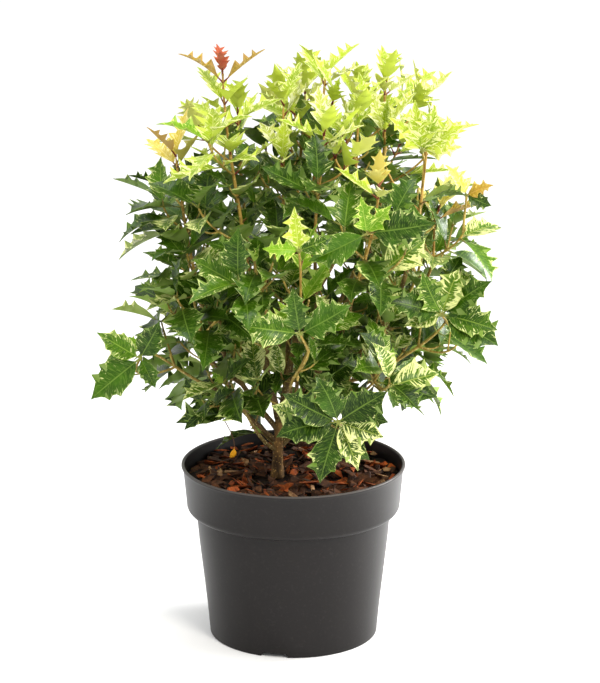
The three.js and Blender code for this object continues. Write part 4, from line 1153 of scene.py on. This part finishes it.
trunk_foot, trunk_fork = limbs["trunk"]["line"][0], limbs["trunk"]["line"][-1]
trunk_line = arc(trunk_foot, UP, trunk_fork, unit(trunk_fork - trunk_foot), TRUNK_RINGS)
along_trunk = np.linspace(0, 1, TRUNK_RINGS + 1)
trunk_radius = np.interp(along_trunk, np.linspace(0, 1, len(TRUNK["radii"])), TRUNK["radii"]) - BARK_DEPTH
round_trunk = np.linspace(0, 2 * np.pi, TRUNK_SIDES + 1)[:-1]
flutes = 1 + FLUTE_DEPTH * np.exp(-along_trunk * FLUTE_FADE)[:, None] * np.cos(FLUTES * round_trunk)
trunk_rough = roughened(trunk_line, trunk_radius, TRUNK_SIDES, *TRUNK_SWELL) * flutes
trunk_mesh = tubes("trunk_bark", [trunk_line], [trunk_rough], TRUNK_SIDES)
old_bark = stem_bark("old brown bark", "#3c280e", "#836030", "#c09450", 190)
add_piece("trunk_bark", trunk_mesh, [old_bark], ["trunk"])

bough_lines = [arc(*bough["ends"], BOUGH_RINGS) for bough in boughs]
bough_radii = []
for bough, line in zip(boughs, bough_lines):
    radius = np.linspace(bough["r0"], bough["r1"], BOUGH_RINGS + 1)
    radius[:COLLAR_RINGS] *= np.linspace(COLLAR_SWELL, 1.0, COLLAR_RINGS)
    bough_radii.append(roughened(line, radius, BOUGH_SIDES, *BOUGH_SWELL))
bough_mesh = tubes("bough_bark", bough_lines, bough_radii, BOUGH_SIDES)
# The last colour is the painted shade low on the boughs.
bough_bark = stem_bark("bough bark", "#594522", "#937a3e", "#bda56c", 240, "#49351d")
add_piece("bough_bark", bough_mesh, [bough_bark], ["bough_" + row[0] for row in BOUGHS])


def shoot_tubes(name, group, material):
    """Shoots as tubes that taper to a pointed bud, slightly thicker at each leaf pair."""
    lines, radii = [], []
    share = np.linspace(0, 1, TWIG_RINGS + 1)
    for shoot in group:
        start, way, tip, end_way = shoot["ends"]
        sink = 0 if shoot["number"] else SHOOT_SINK
        lines.append(arc(start - way * sink, way, tip, end_way, TWIG_RINGS))
        full = shoot["full"]
        radius = shoot["r0"] + (shoot["r1"] - shoot["r0"]) * share
        for node in shoot["nodes"]:
            radius += JOINT_SWELL * np.exp(-((share * full - node) / JOINT_LENGTH) ** 2)
        bud = np.clip((1 - share) * full / BUD_LENGTH, 0, 1)
        radii.append(radius * np.where(bud < 1, BUD_SWELL * np.sqrt(bud) + 0.05, 1))
    add_piece(name, tubes(name, lines, radii, TWIG_SIDES), [material])


def nearest_wood(point):
    """The middle of the stretch of wood that is nearest to a point."""
    middles = all_wood["middles"]
    return middles[((middles - point) ** 2).sum(1).argmin()]


MASS_NAMES = [row[0] for row in MASSES]
tall_leader = leaders[MASS_NAMES.index("tall_left")]
tall_tip, tall_way = tall_leader["ends"][2:]
tip_ends = (tall_tip - TIP_OVERLAP * tall_way, tall_way, tall_tip + TIP_GROWTH * tall_way, tall_way)
grown_tip = {
    "ends": tip_ends, "full": TIP_GROWTH + TIP_OVERLAP, "number": 1, "nodes": [],
    "r0": tall_leader["r1"], "r1": tall_leader["r1"],
}
rosette_stems = []
for mass_name, middle, _ in ROSETTES:
    stem_tip, mass = np.array(middle, dtype=float), MASS_NAMES.index(mass_name)
    stem_foot = nearest_wood(stem_tip + STEM_START)
    stem_way = unit(stem_tip - stem_foot)
    rosette_stems.append({
        "ends": (stem_foot, unit(stem_way + UP * 0.5), stem_tip, stem_way), "number": 1, "nodes": [],
        "full": np.linalg.norm(stem_tip - stem_foot), "r0": STEM_RADII[0], "r1": STEM_RADII[1],
        "mass": mass, "seed": MASSES[mass][-1],
    })
young_shoots = [shoot for shoot in shoots if shoot["flush"]] + [grown_tip]
older_shoots = [shoot for shoot in shoots if not shoot["flush"]] + rosette_stems
# The last colour of the twig bark is the painted shade low on the twigs.
tan_bark = stem_bark("tan twig bark", "#857030", "#b49c48", "#d6c684", 260, "#503c20")
young_bark = stem_bark("tan young bark", "#8f6c2c", "#bd9a46", "#dcc07a", 120)
shoot_tubes("older_shoots", older_shoots, tan_bark)
shoot_tubes("young_shoots", young_shoots, young_bark)
shoot_tubes("fine_twigs", twigs, tan_bark)


# Leaves
# Holly shaped leaves: stiff, folded along the midrib, with hooked spines between deep bays.
# Each colour is one joined piece of its own; the upper faces are glossy, the undersides matt.

# Along one margin: share of the length, half width in shares of the leaf's width, how far the
# margin stands above the blade in shares of the length
MARGIN_FOOT = [(0.0, 0.02, 0), (0.13, 0.03, 0)]
MARGIN_TIP = (1.0, 0.006, -0.01)
TIP_SPINES = [
    *MARGIN_FOOT, (0.18, 0.16, 0), (0.26, 0.30, 0), (0.36, 0.43, 0),
    (0.46, 0.48, 0.005), (0.55, 0.53, 0.01), (0.63, 0.64, 0.03), (0.655, 0.45, -0.01),
    (0.71, 0.39, -0.015), (0.80, 0.53, 0.035), (0.82, 0.28, -0.01), (0.86, 0.19, 0),
    (0.90, 0.13, 0), (0.95, 0.06, 0), MARGIN_TIP,
]
TWO_SPINES = [
    *MARGIN_FOOT, (0.2, 0.18, 0), (0.28, 0.28, 0), (0.36, 0.4, 0.01),
    (0.47, 0.66, 0.04), (0.5, 0.38, -0.01), (0.57, 0.29, -0.02), (0.64, 0.32, -0.01),
    (0.74, 0.54, 0.035), (0.76, 0.27, -0.01), (0.81, 0.18, -0.01), (0.87, 0.12, 0),
    (0.92, 0.08, 0), (0.96, 0.04, 0), MARGIN_TIP,
]
THREE_SPINES = [
    *MARGIN_FOOT, (0.19, 0.18, 0), (0.28, 0.40, 0.01), (0.42, 0.62, 0.035),
    (0.445, 0.40, -0.01), (0.505, 0.37, -0.02), (0.625, 0.62, 0.04), (0.65, 0.36, -0.01),
    (0.705, 0.31, -0.02), (0.80, 0.46, 0.03), (0.82, 0.22, -0.01), (0.86, 0.16, 0),
    (0.90, 0.12, 0), (0.95, 0.06, 0), MARGIN_TIP,
]
FEW_SPINES = [
    *MARGIN_FOOT, (0.18, 0.15, 0), (0.25, 0.32, 0.005), (0.34, 0.44, 0.01),
    (0.41, 0.48, 0.01), (0.48, 0.5, 0.005), (0.56, 0.55, 0.03), (0.58, 0.44, -0.01),
    (0.65, 0.39, -0.01), (0.745, 0.47, 0.03), (0.765, 0.29, -0.01), (0.83, 0.19, 0),
    (0.88, 0.13, 0), (0.94, 0.06, 0), MARGIN_TIP,
]
# The bays of the three-spined margin, which are cut deeper in young leaves
BAYS = (5, 6, 8, 9, 11, 12, 13)
BAY_DEPTH = 0.7
# Blades of older and of young leaves take each side's margin from their own list
OLD_MARGINS = [TIP_SPINES, THREE_SPINES, FEW_SPINES]
OLD_FINISHES = ("dark", "mid", "marbled")
BLADE_CHOICE = 997
BLADE_SIDES = 6
# What a leaf's own choices make of its width, fold, arch and spines
OWN_WIDTH = (0.78, 0.24)
OWN_FOLD = (0.6, 0.9)
OWN_ARCH = (0.5, 1.6)
OWN_SPINES = (0.5, 1.1)
OWN_TONE = (0.15, 0.6)
YOUNG_NARROWING = 0.88
LEAF_TWIST = np.radians(50)
LEAF_SWEEP = 0.16
LEAF_CREASE = math.radians(55)
TIER_DROP = 11.0
VEIN_LEAN = 0.07
MIDRIB_DEPTH = 0.55
# Painted shade: leaves rooted below this height get a darker tone, up to LOW_SHADE, fading in over LOW_FADE.
LOW_LEAVES = 275.0
LOW_FADE = 60.0
LOW_SHADE = 0.45
ROSETTE_LEAN = 0.3
ROSETTE_FACE = unit(np.array([0.0, -1.0, 0.5]))
ROSETTE_ARCH = 0.15
ROSETTE_INSET = 2
ROSETTE_DEPTH = 15.0
ROSETTE_ROOM = 46.0


def deepened(margin):
    """The three-spined margin with the bays between its spines cut further in."""
    return [(s, w * BAY_DEPTH if i in BAYS else w, lift) for i, (s, w, lift) in enumerate(margin)]


def blade_template(right, left):
    """Corners of a blade, ring by ring: share along, share across, lift, depth, side for the veins."""
    corners = []
    for (right_s, right_w, right_lift), (left_s, left_w, left_lift) in zip(right, left):
        middle = (right_s + left_s) / 2
        rib = max(0, middle - VEIN_LEAN * math.sin(math.pi * min(1, middle)))
        right_inner = min(0.55 * half_width(right_s) + 0.01, 0.7 * right_w)
        left_inner = min(0.55 * half_width(left_s) + 0.01, 0.7 * left_w)
        swell = 0.35 * min(right_inner, left_inner) * 0.12
        corners += [
            (right_s, right_w, right_lift, 0, 1),
            ((right_s + rib) / 2, right_inner, swell, 0, 0.5),
            (rib, 0, 0, 0, 0),
            ((left_s + rib) / 2, -left_inner, swell, 0, -0.5),
            (left_s, -left_w, left_lift, 0, -1),
            (rib, 0, 0, -MIDRIB_DEPTH, 0),
        ]
    template = dict(zip(("along", "across", "lift", "depth", "vein"), np.array(corners, dtype=float).T))
    return {**template, "shift": 0}


def own_choices(leaf):
    """A leaf's own choices between 0 and 1: width, fold, lift of the spines, twist, arch."""
    shoot, luck = leaf["shoot"], int(1000 * leaf["luck"])
    return [draw(shoot["seed"], 30 + n, shoot["number"], leaf["rank"], luck) for n in range(5)]


def bent(group, template):
    """Copies of a template bent as the rule bends a blade, each with a wave and twist of its own."""
    def each(key):
        return np.array([leaf[key] for leaf in group])[:, None]

    s, size = template["along"], each("size")
    wide, folded, lifted, twisted, curved = np.array([own_choices(leaf) for leaf in group]).T[..., None]
    width = size * LEAF_WIDTH * varied(OWN_WIDTH, wide) * np.where(each("young"), YOUNG_NARROWING, 1)
    fold = LEAF_FOLD * varied(OWN_FOLD, folded)
    reach, drop = arched(s, size, each("arch") * varied(OWN_ARCH, curved))
    across = width * template["across"] + template["shift"]
    rise = width * fold * np.abs(template["across"]) - drop
    rise = rise + size * template["lift"] * varied(OWN_SPINES, lifted) + template["depth"]
    twist = LEAF_TWIST * (twisted - 0.5) * s
    cos, sin = np.cos(twist), np.sin(twist)
    across, rise = across * cos - rise * sin, across * sin + rise * cos
    across = across + size * LEAF_SWEEP * (curved - 0.5) * s * s
    points = each("root") + reach[..., None] * each("along") + rise[..., None] * each("normal")
    return points + across[..., None] * each("side")


def leaf_material(name, deep, bright, line, cream, marbled, roughness):
    """Upper face: greens that shift over the leaf and darken with the painted shade in its tone, cream
    streaks from the margin, pale veins.
    """
    gloss = {"Roughness": roughness, "Specular_IOR_Level": 0.15, "Coat_Weight": 0.07, "Coat_Roughness": 0.25}
    material, tree, shader = new_material(name, **gloss)
    place = add_node(tree, "TexCoord", {}, output="Object")
    keys = ("tone_and_shade", "across", "along")
    tone_and_shade, across, along = [add_node(tree, "Attribute", {}, output="Fac", attribute_name=key) for key in keys]
    vein = add_node(tree, "Math", {0: across}, operation="ABSOLUTE")
    clouds = add_node(tree, "TexNoise", {"Vector": place, "Scale": 95.0, "Detail": 5.0})
    mixed = add_node(tree, "Math", {0: clouds, 1: 1.5, 2: -0.75}, operation="MULTIPLY_ADD")
    share = add_node(tree, "Math", {0: mixed, 1: tone_and_shade}, operation="ADD", use_clamp=True)
    base = add_node(tree, "Mix", {0: share, 6: colour(deep), 7: colour(bright)}, **COLOUR_MIX)
    leaned = add_node(tree, "Math", {0: vein, 1: -0.16, 2: along}, operation="MULTIPLY_ADD")
    stripes = add_node(tree, "Math", {0: leaned, 1: 30.0}, operation="MULTIPLY")
    own = add_node(tree, "Math", {0: tone_and_shade, 1: 90.0}, operation="MULTIPLY")
    leaf_place = add_node(tree, "CombineXYZ", {0: stripes, 1: across, 2: own})
    streaks = add_node(tree, "TexNoise", {"Vector": leaf_place, "Scale": 1.4, "Detail": 1.0})
    speckle = add_node(tree, "TexNoise", {"Vector": place, "Scale": 420.0, "Detail": 3.0})
    broken = add_node(tree, "Math", {0: speckle, 1: 0.5, 2: streaks}, operation="MULTIPLY_ADD")
    outer = add_node(tree, "Math", {0: vein, 1: 0.32, 2: broken}, operation="MULTIPLY_ADD")
    edge = 1.15 - 0.34 * marbled
    marbled_base = laid_over(tree, base, colour(cream), outer, edge, edge + 0.07, most=0.9)
    ripple = add_node(tree, "Math", {0: leaned, 1: 0.11}, operation="PINGPONG")
    lateral = add_node(tree, "MapRange", {0: ripple, 1: 0.0, 2: 0.014, 3: 0.2, 4: 0.0})
    fine = add_node(tree, "TexNoise", {"Vector": leaf_place, "Scale": 3.4, "Detail": 2.0})
    fleck = add_node(tree, "MapRange", {0: fine, 1: 0.53, 2: 0.68, 3: 0.0, 4: 0.5})
    midrib = add_node(tree, "MapRange", {0: vein, 1: 0.015, 2: 0.055, 3: 0.55, 4: 0.0})
    margin = add_node(tree, "MapRange", {0: vein, 1: 0.9, 2: 1.0, 3: 0.0, 4: 0.7})
    lines = add_node(tree, "Math", {0: midrib, 1: lateral}, operation="MAXIMUM")
    drawn = add_node(tree, "Math", {0: lines, 1: margin}, operation="MAXIMUM")
    shown = add_node(tree, "Math", {0: drawn, 1: fleck}, operation="MAXIMUM")
    veined = add_node(tree, "Mix", {0: shown, 6: marbled_base, 7: colour(line)}, **COLOUR_MIX)
    sunk = add_node(tree, "Bump", {"Height": lines, "Strength": 0.5, "Distance": -0.4 * MM})
    grained = {"Height": speckle, "Strength": 0.25, "Distance": 0.3 * MM, "Normal": sunk}
    leathery = add_node(tree, "Bump", grained)
    connect(tree, shader, Base_Color=veined, Normal=leathery)
    return material


def under_material(name, shade):
    """Underside: one paler, matt green."""
    material, tree, shader = new_material(name, Roughness=0.6, Specular_IOR_Level=0.15)
    place = add_node(tree, "TexCoord", {}, output="Object")
    clouds = add_node(tree, "TexNoise", {"Vector": place, "Scale": 80.0, "Detail": 3.0})
    base = laid_over(tree, colour(shade), colour("#c9cf9a"), clouds, 0.3, 0.7, most=0.2)
    connect(tree, shader, Base_Color=base)
    return material


# Deep and bright shade of the upper face, its veins, its cream streaks and how far they spread,
# underside, roughness, slot
FINISHES = {
    "dark": ("#172e00", "#3e6705", "#7c9b3c", "#ced488", 0.12, "#58761f", 0.3, "leaf_dark"),
    "mid": ("#224204", "#4a7406", "#93b13f", "#dbe094", 0.36, "#6f8d2b", 0.32, "leaf_dark"),
    "marbled": ("#244404", "#4c7406", "#b0bf50", "#e6e99c", 0.8, "#80963a", 0.34, "leaf_dark"),
    "fresh": ("#4a7c06", "#82b016", "#c0d65c", "#dfe97c", 0.42, "#93b436", 0.36, "leaf_fresh"),
    "lime": ("#78960a", "#b2c624", "#dde580", "#eaeea0", 0.66, "#c0d23e", 0.38, "leaf_lime"),
    "cream": ("#9cac22", "#cbd254", "#ecedaa", "#f4f3c2", 0.8, "#d6da70", 0.4, "leaf_lime"),
    "bronze": ("#7f6c1a", "#b8942f", "#dcae62", "#d6c464", 0.4, "#b0883a", 0.38, "leaf_bronze"),
    "amber": ("#b8a22a", "#ead662", "#f8ee9c", "#f8f0a8", 0.6, "#d4c45c", 0.38, "leaf_amber"),
    "red": ("#8c2c22", "#bd5a3a", "#d08a5c", "#cf8a58", 0.3, "#a84a38", 0.36, "leaf_bronze"),
}


def finish_of(leaf):
    """Which colour a leaf has: young pairs by their spray, older ones darker and further in."""
    if "finish" in leaf:
        return leaf["finish"]
    luck, rank, kind, name = leaf["luck"], leaf["rank"], leaf["kind"], MASS_NAMES[leaf["mass"]]
    if rank == -1:
        if name in ("tall_left", "front_top"):
            return "red"
        return {"dark": "fresh", "amber": "amber", "bronze": "bronze"}.get(kind, "lime")
    if leaf["young"]:
        if kind == "bronze":
            return ("red", "bronze", "lime")[min(rank, 2)]
        if name == "front_top" and rank == 0 and not leaf["shoot"]["number"]:
            return "amber"
        if kind == "amber":
            return "amber" if luck < 0.65 else "bronze"
        if kind == "fresh":
            return "fresh"
        return "cream" if luck < 0.25 else "lime"
    if kind in ("bronze", "amber") and leaf["root"][2] > 392:
        return "lime" if luck < 0.45 else "fresh"
    if kind == "fresh" and luck < 0.2:
        return "fresh"
    if luck > 0.86:
        return "marbled"
    return "mid" if luck > 0.6 else "dark"


def opened(leaf):
    """The leading bronze shoot's tip: a small red pair, and below it a wide bronze pair."""
    if MASS_NAMES[leaf["mass"]] != "tall_left" or leaf["shoot"]["number"] or leaf["rank"] > 1:
        return leaf
    raised = {**leaf, "root": leaf["root"] + leaf["axis"] * TIP_GROWTH}
    if leaf["rank"] == -1:
        return raised
    if leaf["rank"] == 0:
        return stand_leaf(raised, 2, 90, 0.72)
    return stand_leaf({**raised, "arch": 1.7 * leaf["arch"]}, -6, 90, 0.98)


def tier_below(leaf):
    """A lime leaf between the wide bronze pair and the next pair down."""
    lowered = {**leaf, "rank": 2, "root": leaf["root"] - leaf["axis"] * TIER_DROP}
    return stand_leaf(lowered, -4, 35, 1.0)


def rosette_leaf(stem, number, turn, size, finish):
    """A big leaf at the tip of a rosette's stem, its upper face turned to the front."""
    turn = math.radians(turn)
    along = unit(np.array([math.cos(turn), -ROSETTE_LEAN, math.sin(turn)]))
    face = unit(ROSETTE_FACE - along * along.dot(ROSETTE_FACE))
    return {
        "shoot": stem, "mass": stem["mass"], "rank": number, "luck": draw(80, stem["mass"], number),
        "young": False, "size": size, "arch": ROSETTE_ARCH, "root": stem["ends"][2] - ROSETTE_INSET * along,
        "along": along, "normal": face, "side": np.cross(face, along), "finish": finish,
    }


def clear_of_rosettes(leaf):
    """Whether a leaf leaves the view from the front on every rosette free."""
    middle = leaf["root"] + 0.5 * leaf["size"] * leaf["along"]
    for stem in rosette_stems:
        place = stem["ends"][2]
        if middle[1] < place[1] + ROSETTE_DEPTH and np.linalg.norm(middle - place) < ROSETTE_ROOM:
            return False
    return True


wide_pair = [leaf for leaf in leaves if opened(leaf) is not leaf and leaf["rank"] == 1]
leaves = [opened(leaf) for leaf in leaves] + [tier_below(leaf) for leaf in wide_pair]
leaves = [leaf for leaf in leaves if clear_of_rosettes(leaf)]
for stem, (_, _, rows) in zip(rosette_stems, ROSETTES):
    leaves += [rosette_leaf(stem, 10 + k, *row) for k, row in enumerate(rows)]

young_margins = [TWO_SPINES, deepened(THREE_SPINES)]
old_blades = [blade_template(right, left) for right in OLD_MARGINS for left in OLD_MARGINS]
young_blades = [blade_template(right, left) for right in young_margins for left in young_margins]
blade_faces = tube_template(BLADE_SIDES, len(THREE_SPINES) - 1)
under_faces = np.array([any(v % BLADE_SIDES == BLADE_SIDES - 1 for v in face) for face in blade_faces])
for key, (deep, bright, line, cream, marbled, under, roughness, slot) in FINISHES.items():
    group = [leaf for leaf in leaves if finish_of(leaf) == key]
    blades = old_blades if key in OLD_FINISHES else young_blades
    chosen = np.array([int(leaf["luck"] * BLADE_CHOICE) % len(blades) for leaf in group])
    copies = np.zeros((len(group), len(blades[0]["along"]), 3))
    for number, blade in enumerate(blades):
        same = np.nonzero(chosen == number)[0]
        if len(same):
            copies[same] = bent([group[i] for i in same], blade)
    # Painted shade: the tone of low leaves is lowered, so they take the deeper green.
    heights = np.array([leaf["root"][2] for leaf in group])
    painted_low_shade = LOW_SHADE * np.clip((LOW_LEAVES - heights) / LOW_FADE, 0, 1)
    tones_and_shade = (varied(OWN_TONE, np.array([leaf["luck"] for leaf in group])) - painted_low_shade)[:, None]
    shades = {"tone_and_shade": tones_and_shade, "across": blades[0]["vein"], "along": blades[0]["along"]}
    mesh = joined(key + "_leaves", blade_faces, copies, **shades)
    mesh.polygons.foreach_set("material_index", np.tile(under_faces, len(group)).astype(np.int32))
    mesh.set_sharp_from_angle(angle=LEAF_CREASE)
    upper = leaf_material(key + " leaf, upper face", deep, bright, line, cream, marbled, roughness)
    lower = under_material(key + " leaf, underside", under)
    masses = sorted({leaf["mass"] for leaf in group})
    add_piece(key + "_leaves", mesh, [upper, lower], ["leaves_" + MASS_NAMES[m] for m in masses])


# Leaf stalks
# Each leaf's short stalk, swollen where it springs from the shoot: reddish brown on young leaves,
# mostly green on old ones.
STALK_SIDES = 6
STALK_ALONG = (0.0, 0.05, 0.1, 0.16)
STALK_RADII = (1.0, 0.75, 0.62, 0.4)
STALK_SINK = 0.2
stalk_angles = np.arange(STALK_SIDES) * 2 * np.pi / STALK_SIDES
stalk = {
    "along": np.repeat(STALK_ALONG, STALK_SIDES), "across": 0, "lift": 0,
    "depth": np.outer(STALK_RADII, np.sin(stalk_angles)).ravel() - STALK_SINK,
    "shift": np.outer(STALK_RADII, np.cos(stalk_angles)).ravel(),
}
youth = np.array([float(leaf["young"]) for leaf in leaves])[:, None]
stalk_faces = tube_template(STALK_SIDES, len(STALK_ALONG) - 1)
stalks = joined("leaf_stalks", stalk_faces, bent(leaves, stalk), young=youth)
skin, tree, shader = new_material("green to reddish stalk skin", Roughness=0.5, Specular_IOR_Level=0.3)
place = add_node(tree, "TexCoord", {}, output="Object")
flush = add_node(tree, "Attribute", {}, attribute_name="young", output="Fac")
clouds = add_node(tree, "TexNoise", {"Vector": place, "Scale": 60.0, "Detail": 2.0})
share = add_node(tree, "MapRange", {0: clouds, 1: 0.45, 2: 0.7, 3: 0.0, 4: 0.8})
reddened = add_node(tree, "Math", {0: flush, 1: share}, operation="MAXIMUM")
skin_shades = {0: reddened, 6: colour("#7b8236"), 7: colour("#702c22")}
skin_colour = add_node(tree, "Mix", skin_shades, **COLOUR_MIX)
connect(tree, shader, Base_Color=skin_colour)
add_piece("leaf_stalks", stalks, [skin])


# Withered leaf
# One yellow dead leaf, curled lengthwise, that hangs on a shred of bark from a low twig at the
# left. Its blade is one of the older leaves', bent more, and the shred is a thin tube.
WITHERED_TOP = np.array([-49.0, -40.0, 176.0])
WITHERED_SIZE = 14.0
WITHERED_ARCH = 0.3
THREAD_START = np.array([-57.0, -38.0, 192.0])
THREAD_RINGS = 16
THREAD_SIDES = 6
THREAD_RADIUS = 0.42
thread_foot = nearest_wood(THREAD_START)
thread_line = arc(thread_foot, unit(THREAD_START - thread_foot), WITHERED_TOP, -UP, THREAD_RINGS)
thread_radius = np.full(THREAD_RINGS + 1, THREAD_RADIUS)
thread = tubes("withered_thread", [thread_line], [thread_radius], THREAD_SIDES)
dry_bark = stem_bark("dry bark shred", "#3a2413", "#5a3a1e", "#7a5530", 200)
add_piece("withered_thread", thread, [dry_bark])
hang = unit(np.array([-0.2, -0.1, -1.0]))
outward = unit(np.array([0.35, -1.0, 0.0]))
outward = unit(outward - hang * hang.dot(outward))
dead = {
    "shoot": shoots[0], "rank": 9, "luck": 0.4, "young": False, "size": WITHERED_SIZE, "arch": WITHERED_ARCH,
    "root": WITHERED_TOP, "along": hang, "normal": outward, "side": np.cross(outward, hang),
}
curled = old_blades[-1]
shades = {"tone_and_shade": 0.5, "across": curled["vein"], "along": curled["along"]}
withered = joined("withered_leaf", blade_faces, bent([dead], curled), **shades)
withered_skin = leaf_material("withered leaf skin", "#b8740a", "#e8a714", "#f2c654", "#e0a030", 0.1, 0.5)
add_piece("withered_leaf", withered, [withered_skin])


# Stage
# A pale floor, soft daylight from the upper right in front, and a white room round it. The camera
# stands where the photograph was taken from, with the same long lens.
FOCAL = 3064.0
FRAME_HEIGHT = 683.0
SENSOR = 36.0
CAMERA_PLACE = (5.6, -2475.0, 944.6)
CAMERA_DOWN = 15.55
FARTHEST_SEEN = 100
FLOOR_REACH = 8
# Name, place, what it points at, width, power and colour
LAMPS = [
    ("key", (1.0, -1.9, 2.0), (0, 0, 0.25), 0.8, 41, "#fffaf0"),
    ("side", (2.0, -0.5, 0.8), (0, 0, 0.2), 1.0, 14, "#ffffff"),
    ("low right", (0.62, 0.2, 0.42), (0.32, 0.05, 0), 0.35, 7, "#ffffff"),
    ("top", (-0.3, 0.3, 2.4), (0, 0, 0.3), 1.2, 19, "#ffffff"),
]
floor_mesh = bpy.data.meshes.new("floor")
floor_corners = [(x * FLOOR_REACH, y * FLOOR_REACH, 0) for x, y in ((-1, -1), (1, -1), (1, 1), (-1, 1))]
floor_mesh.from_pydata(floor_corners, [], [(0, 1, 2, 3)])
white = {"Base_Color": colour("#fbfbfb"), "Roughness": 0.9, "Specular_IOR_Level": 0.2}
floor_mesh.materials.append(new_material("white paper floor", **white)[0])
floor = bpy.data.objects.new("floor", floor_mesh)
bpy.context.scene.collection.objects.link(floor)

for name, place, target, size, power, tint in LAMPS:
    light = bpy.data.lights.new(name, "AREA")
    light.shape = "DISK"
    light.size = size
    light.energy = power
    light.color = colour(tint)[:3]
    lamp = bpy.data.objects.new(name, light)
    lamp.location = place
    lamp.rotation_euler = (Vector(target) - Vector(place)).to_track_quat("-Z", "Y").to_euler()
    bpy.context.scene.collection.objects.link(lamp)

world = bpy.data.worlds.new("white room")
world.use_nodes = True
sky = world.node_tree.nodes["Background"].inputs
sky["Color"].default_value = (1, 1, 1, 1)
sky["Strength"].default_value = 1.0
bpy.context.scene.world = world
bpy.context.scene.view_settings.view_transform = "Standard"

lens = bpy.data.cameras.new("camera")
lens.sensor_width = SENSOR
lens.lens = FOCAL / FRAME_HEIGHT * SENSOR
lens.clip_end = FARTHEST_SEEN
camera = bpy.data.objects.new("camera", lens)
camera.location = [v * MM for v in CAMERA_PLACE]
camera.rotation_euler = (math.radians(90 - CAMERA_DOWN), 0, 0)
bpy.context.scene.collection.objects.link(camera)
bpy.context.scene.camera = camera
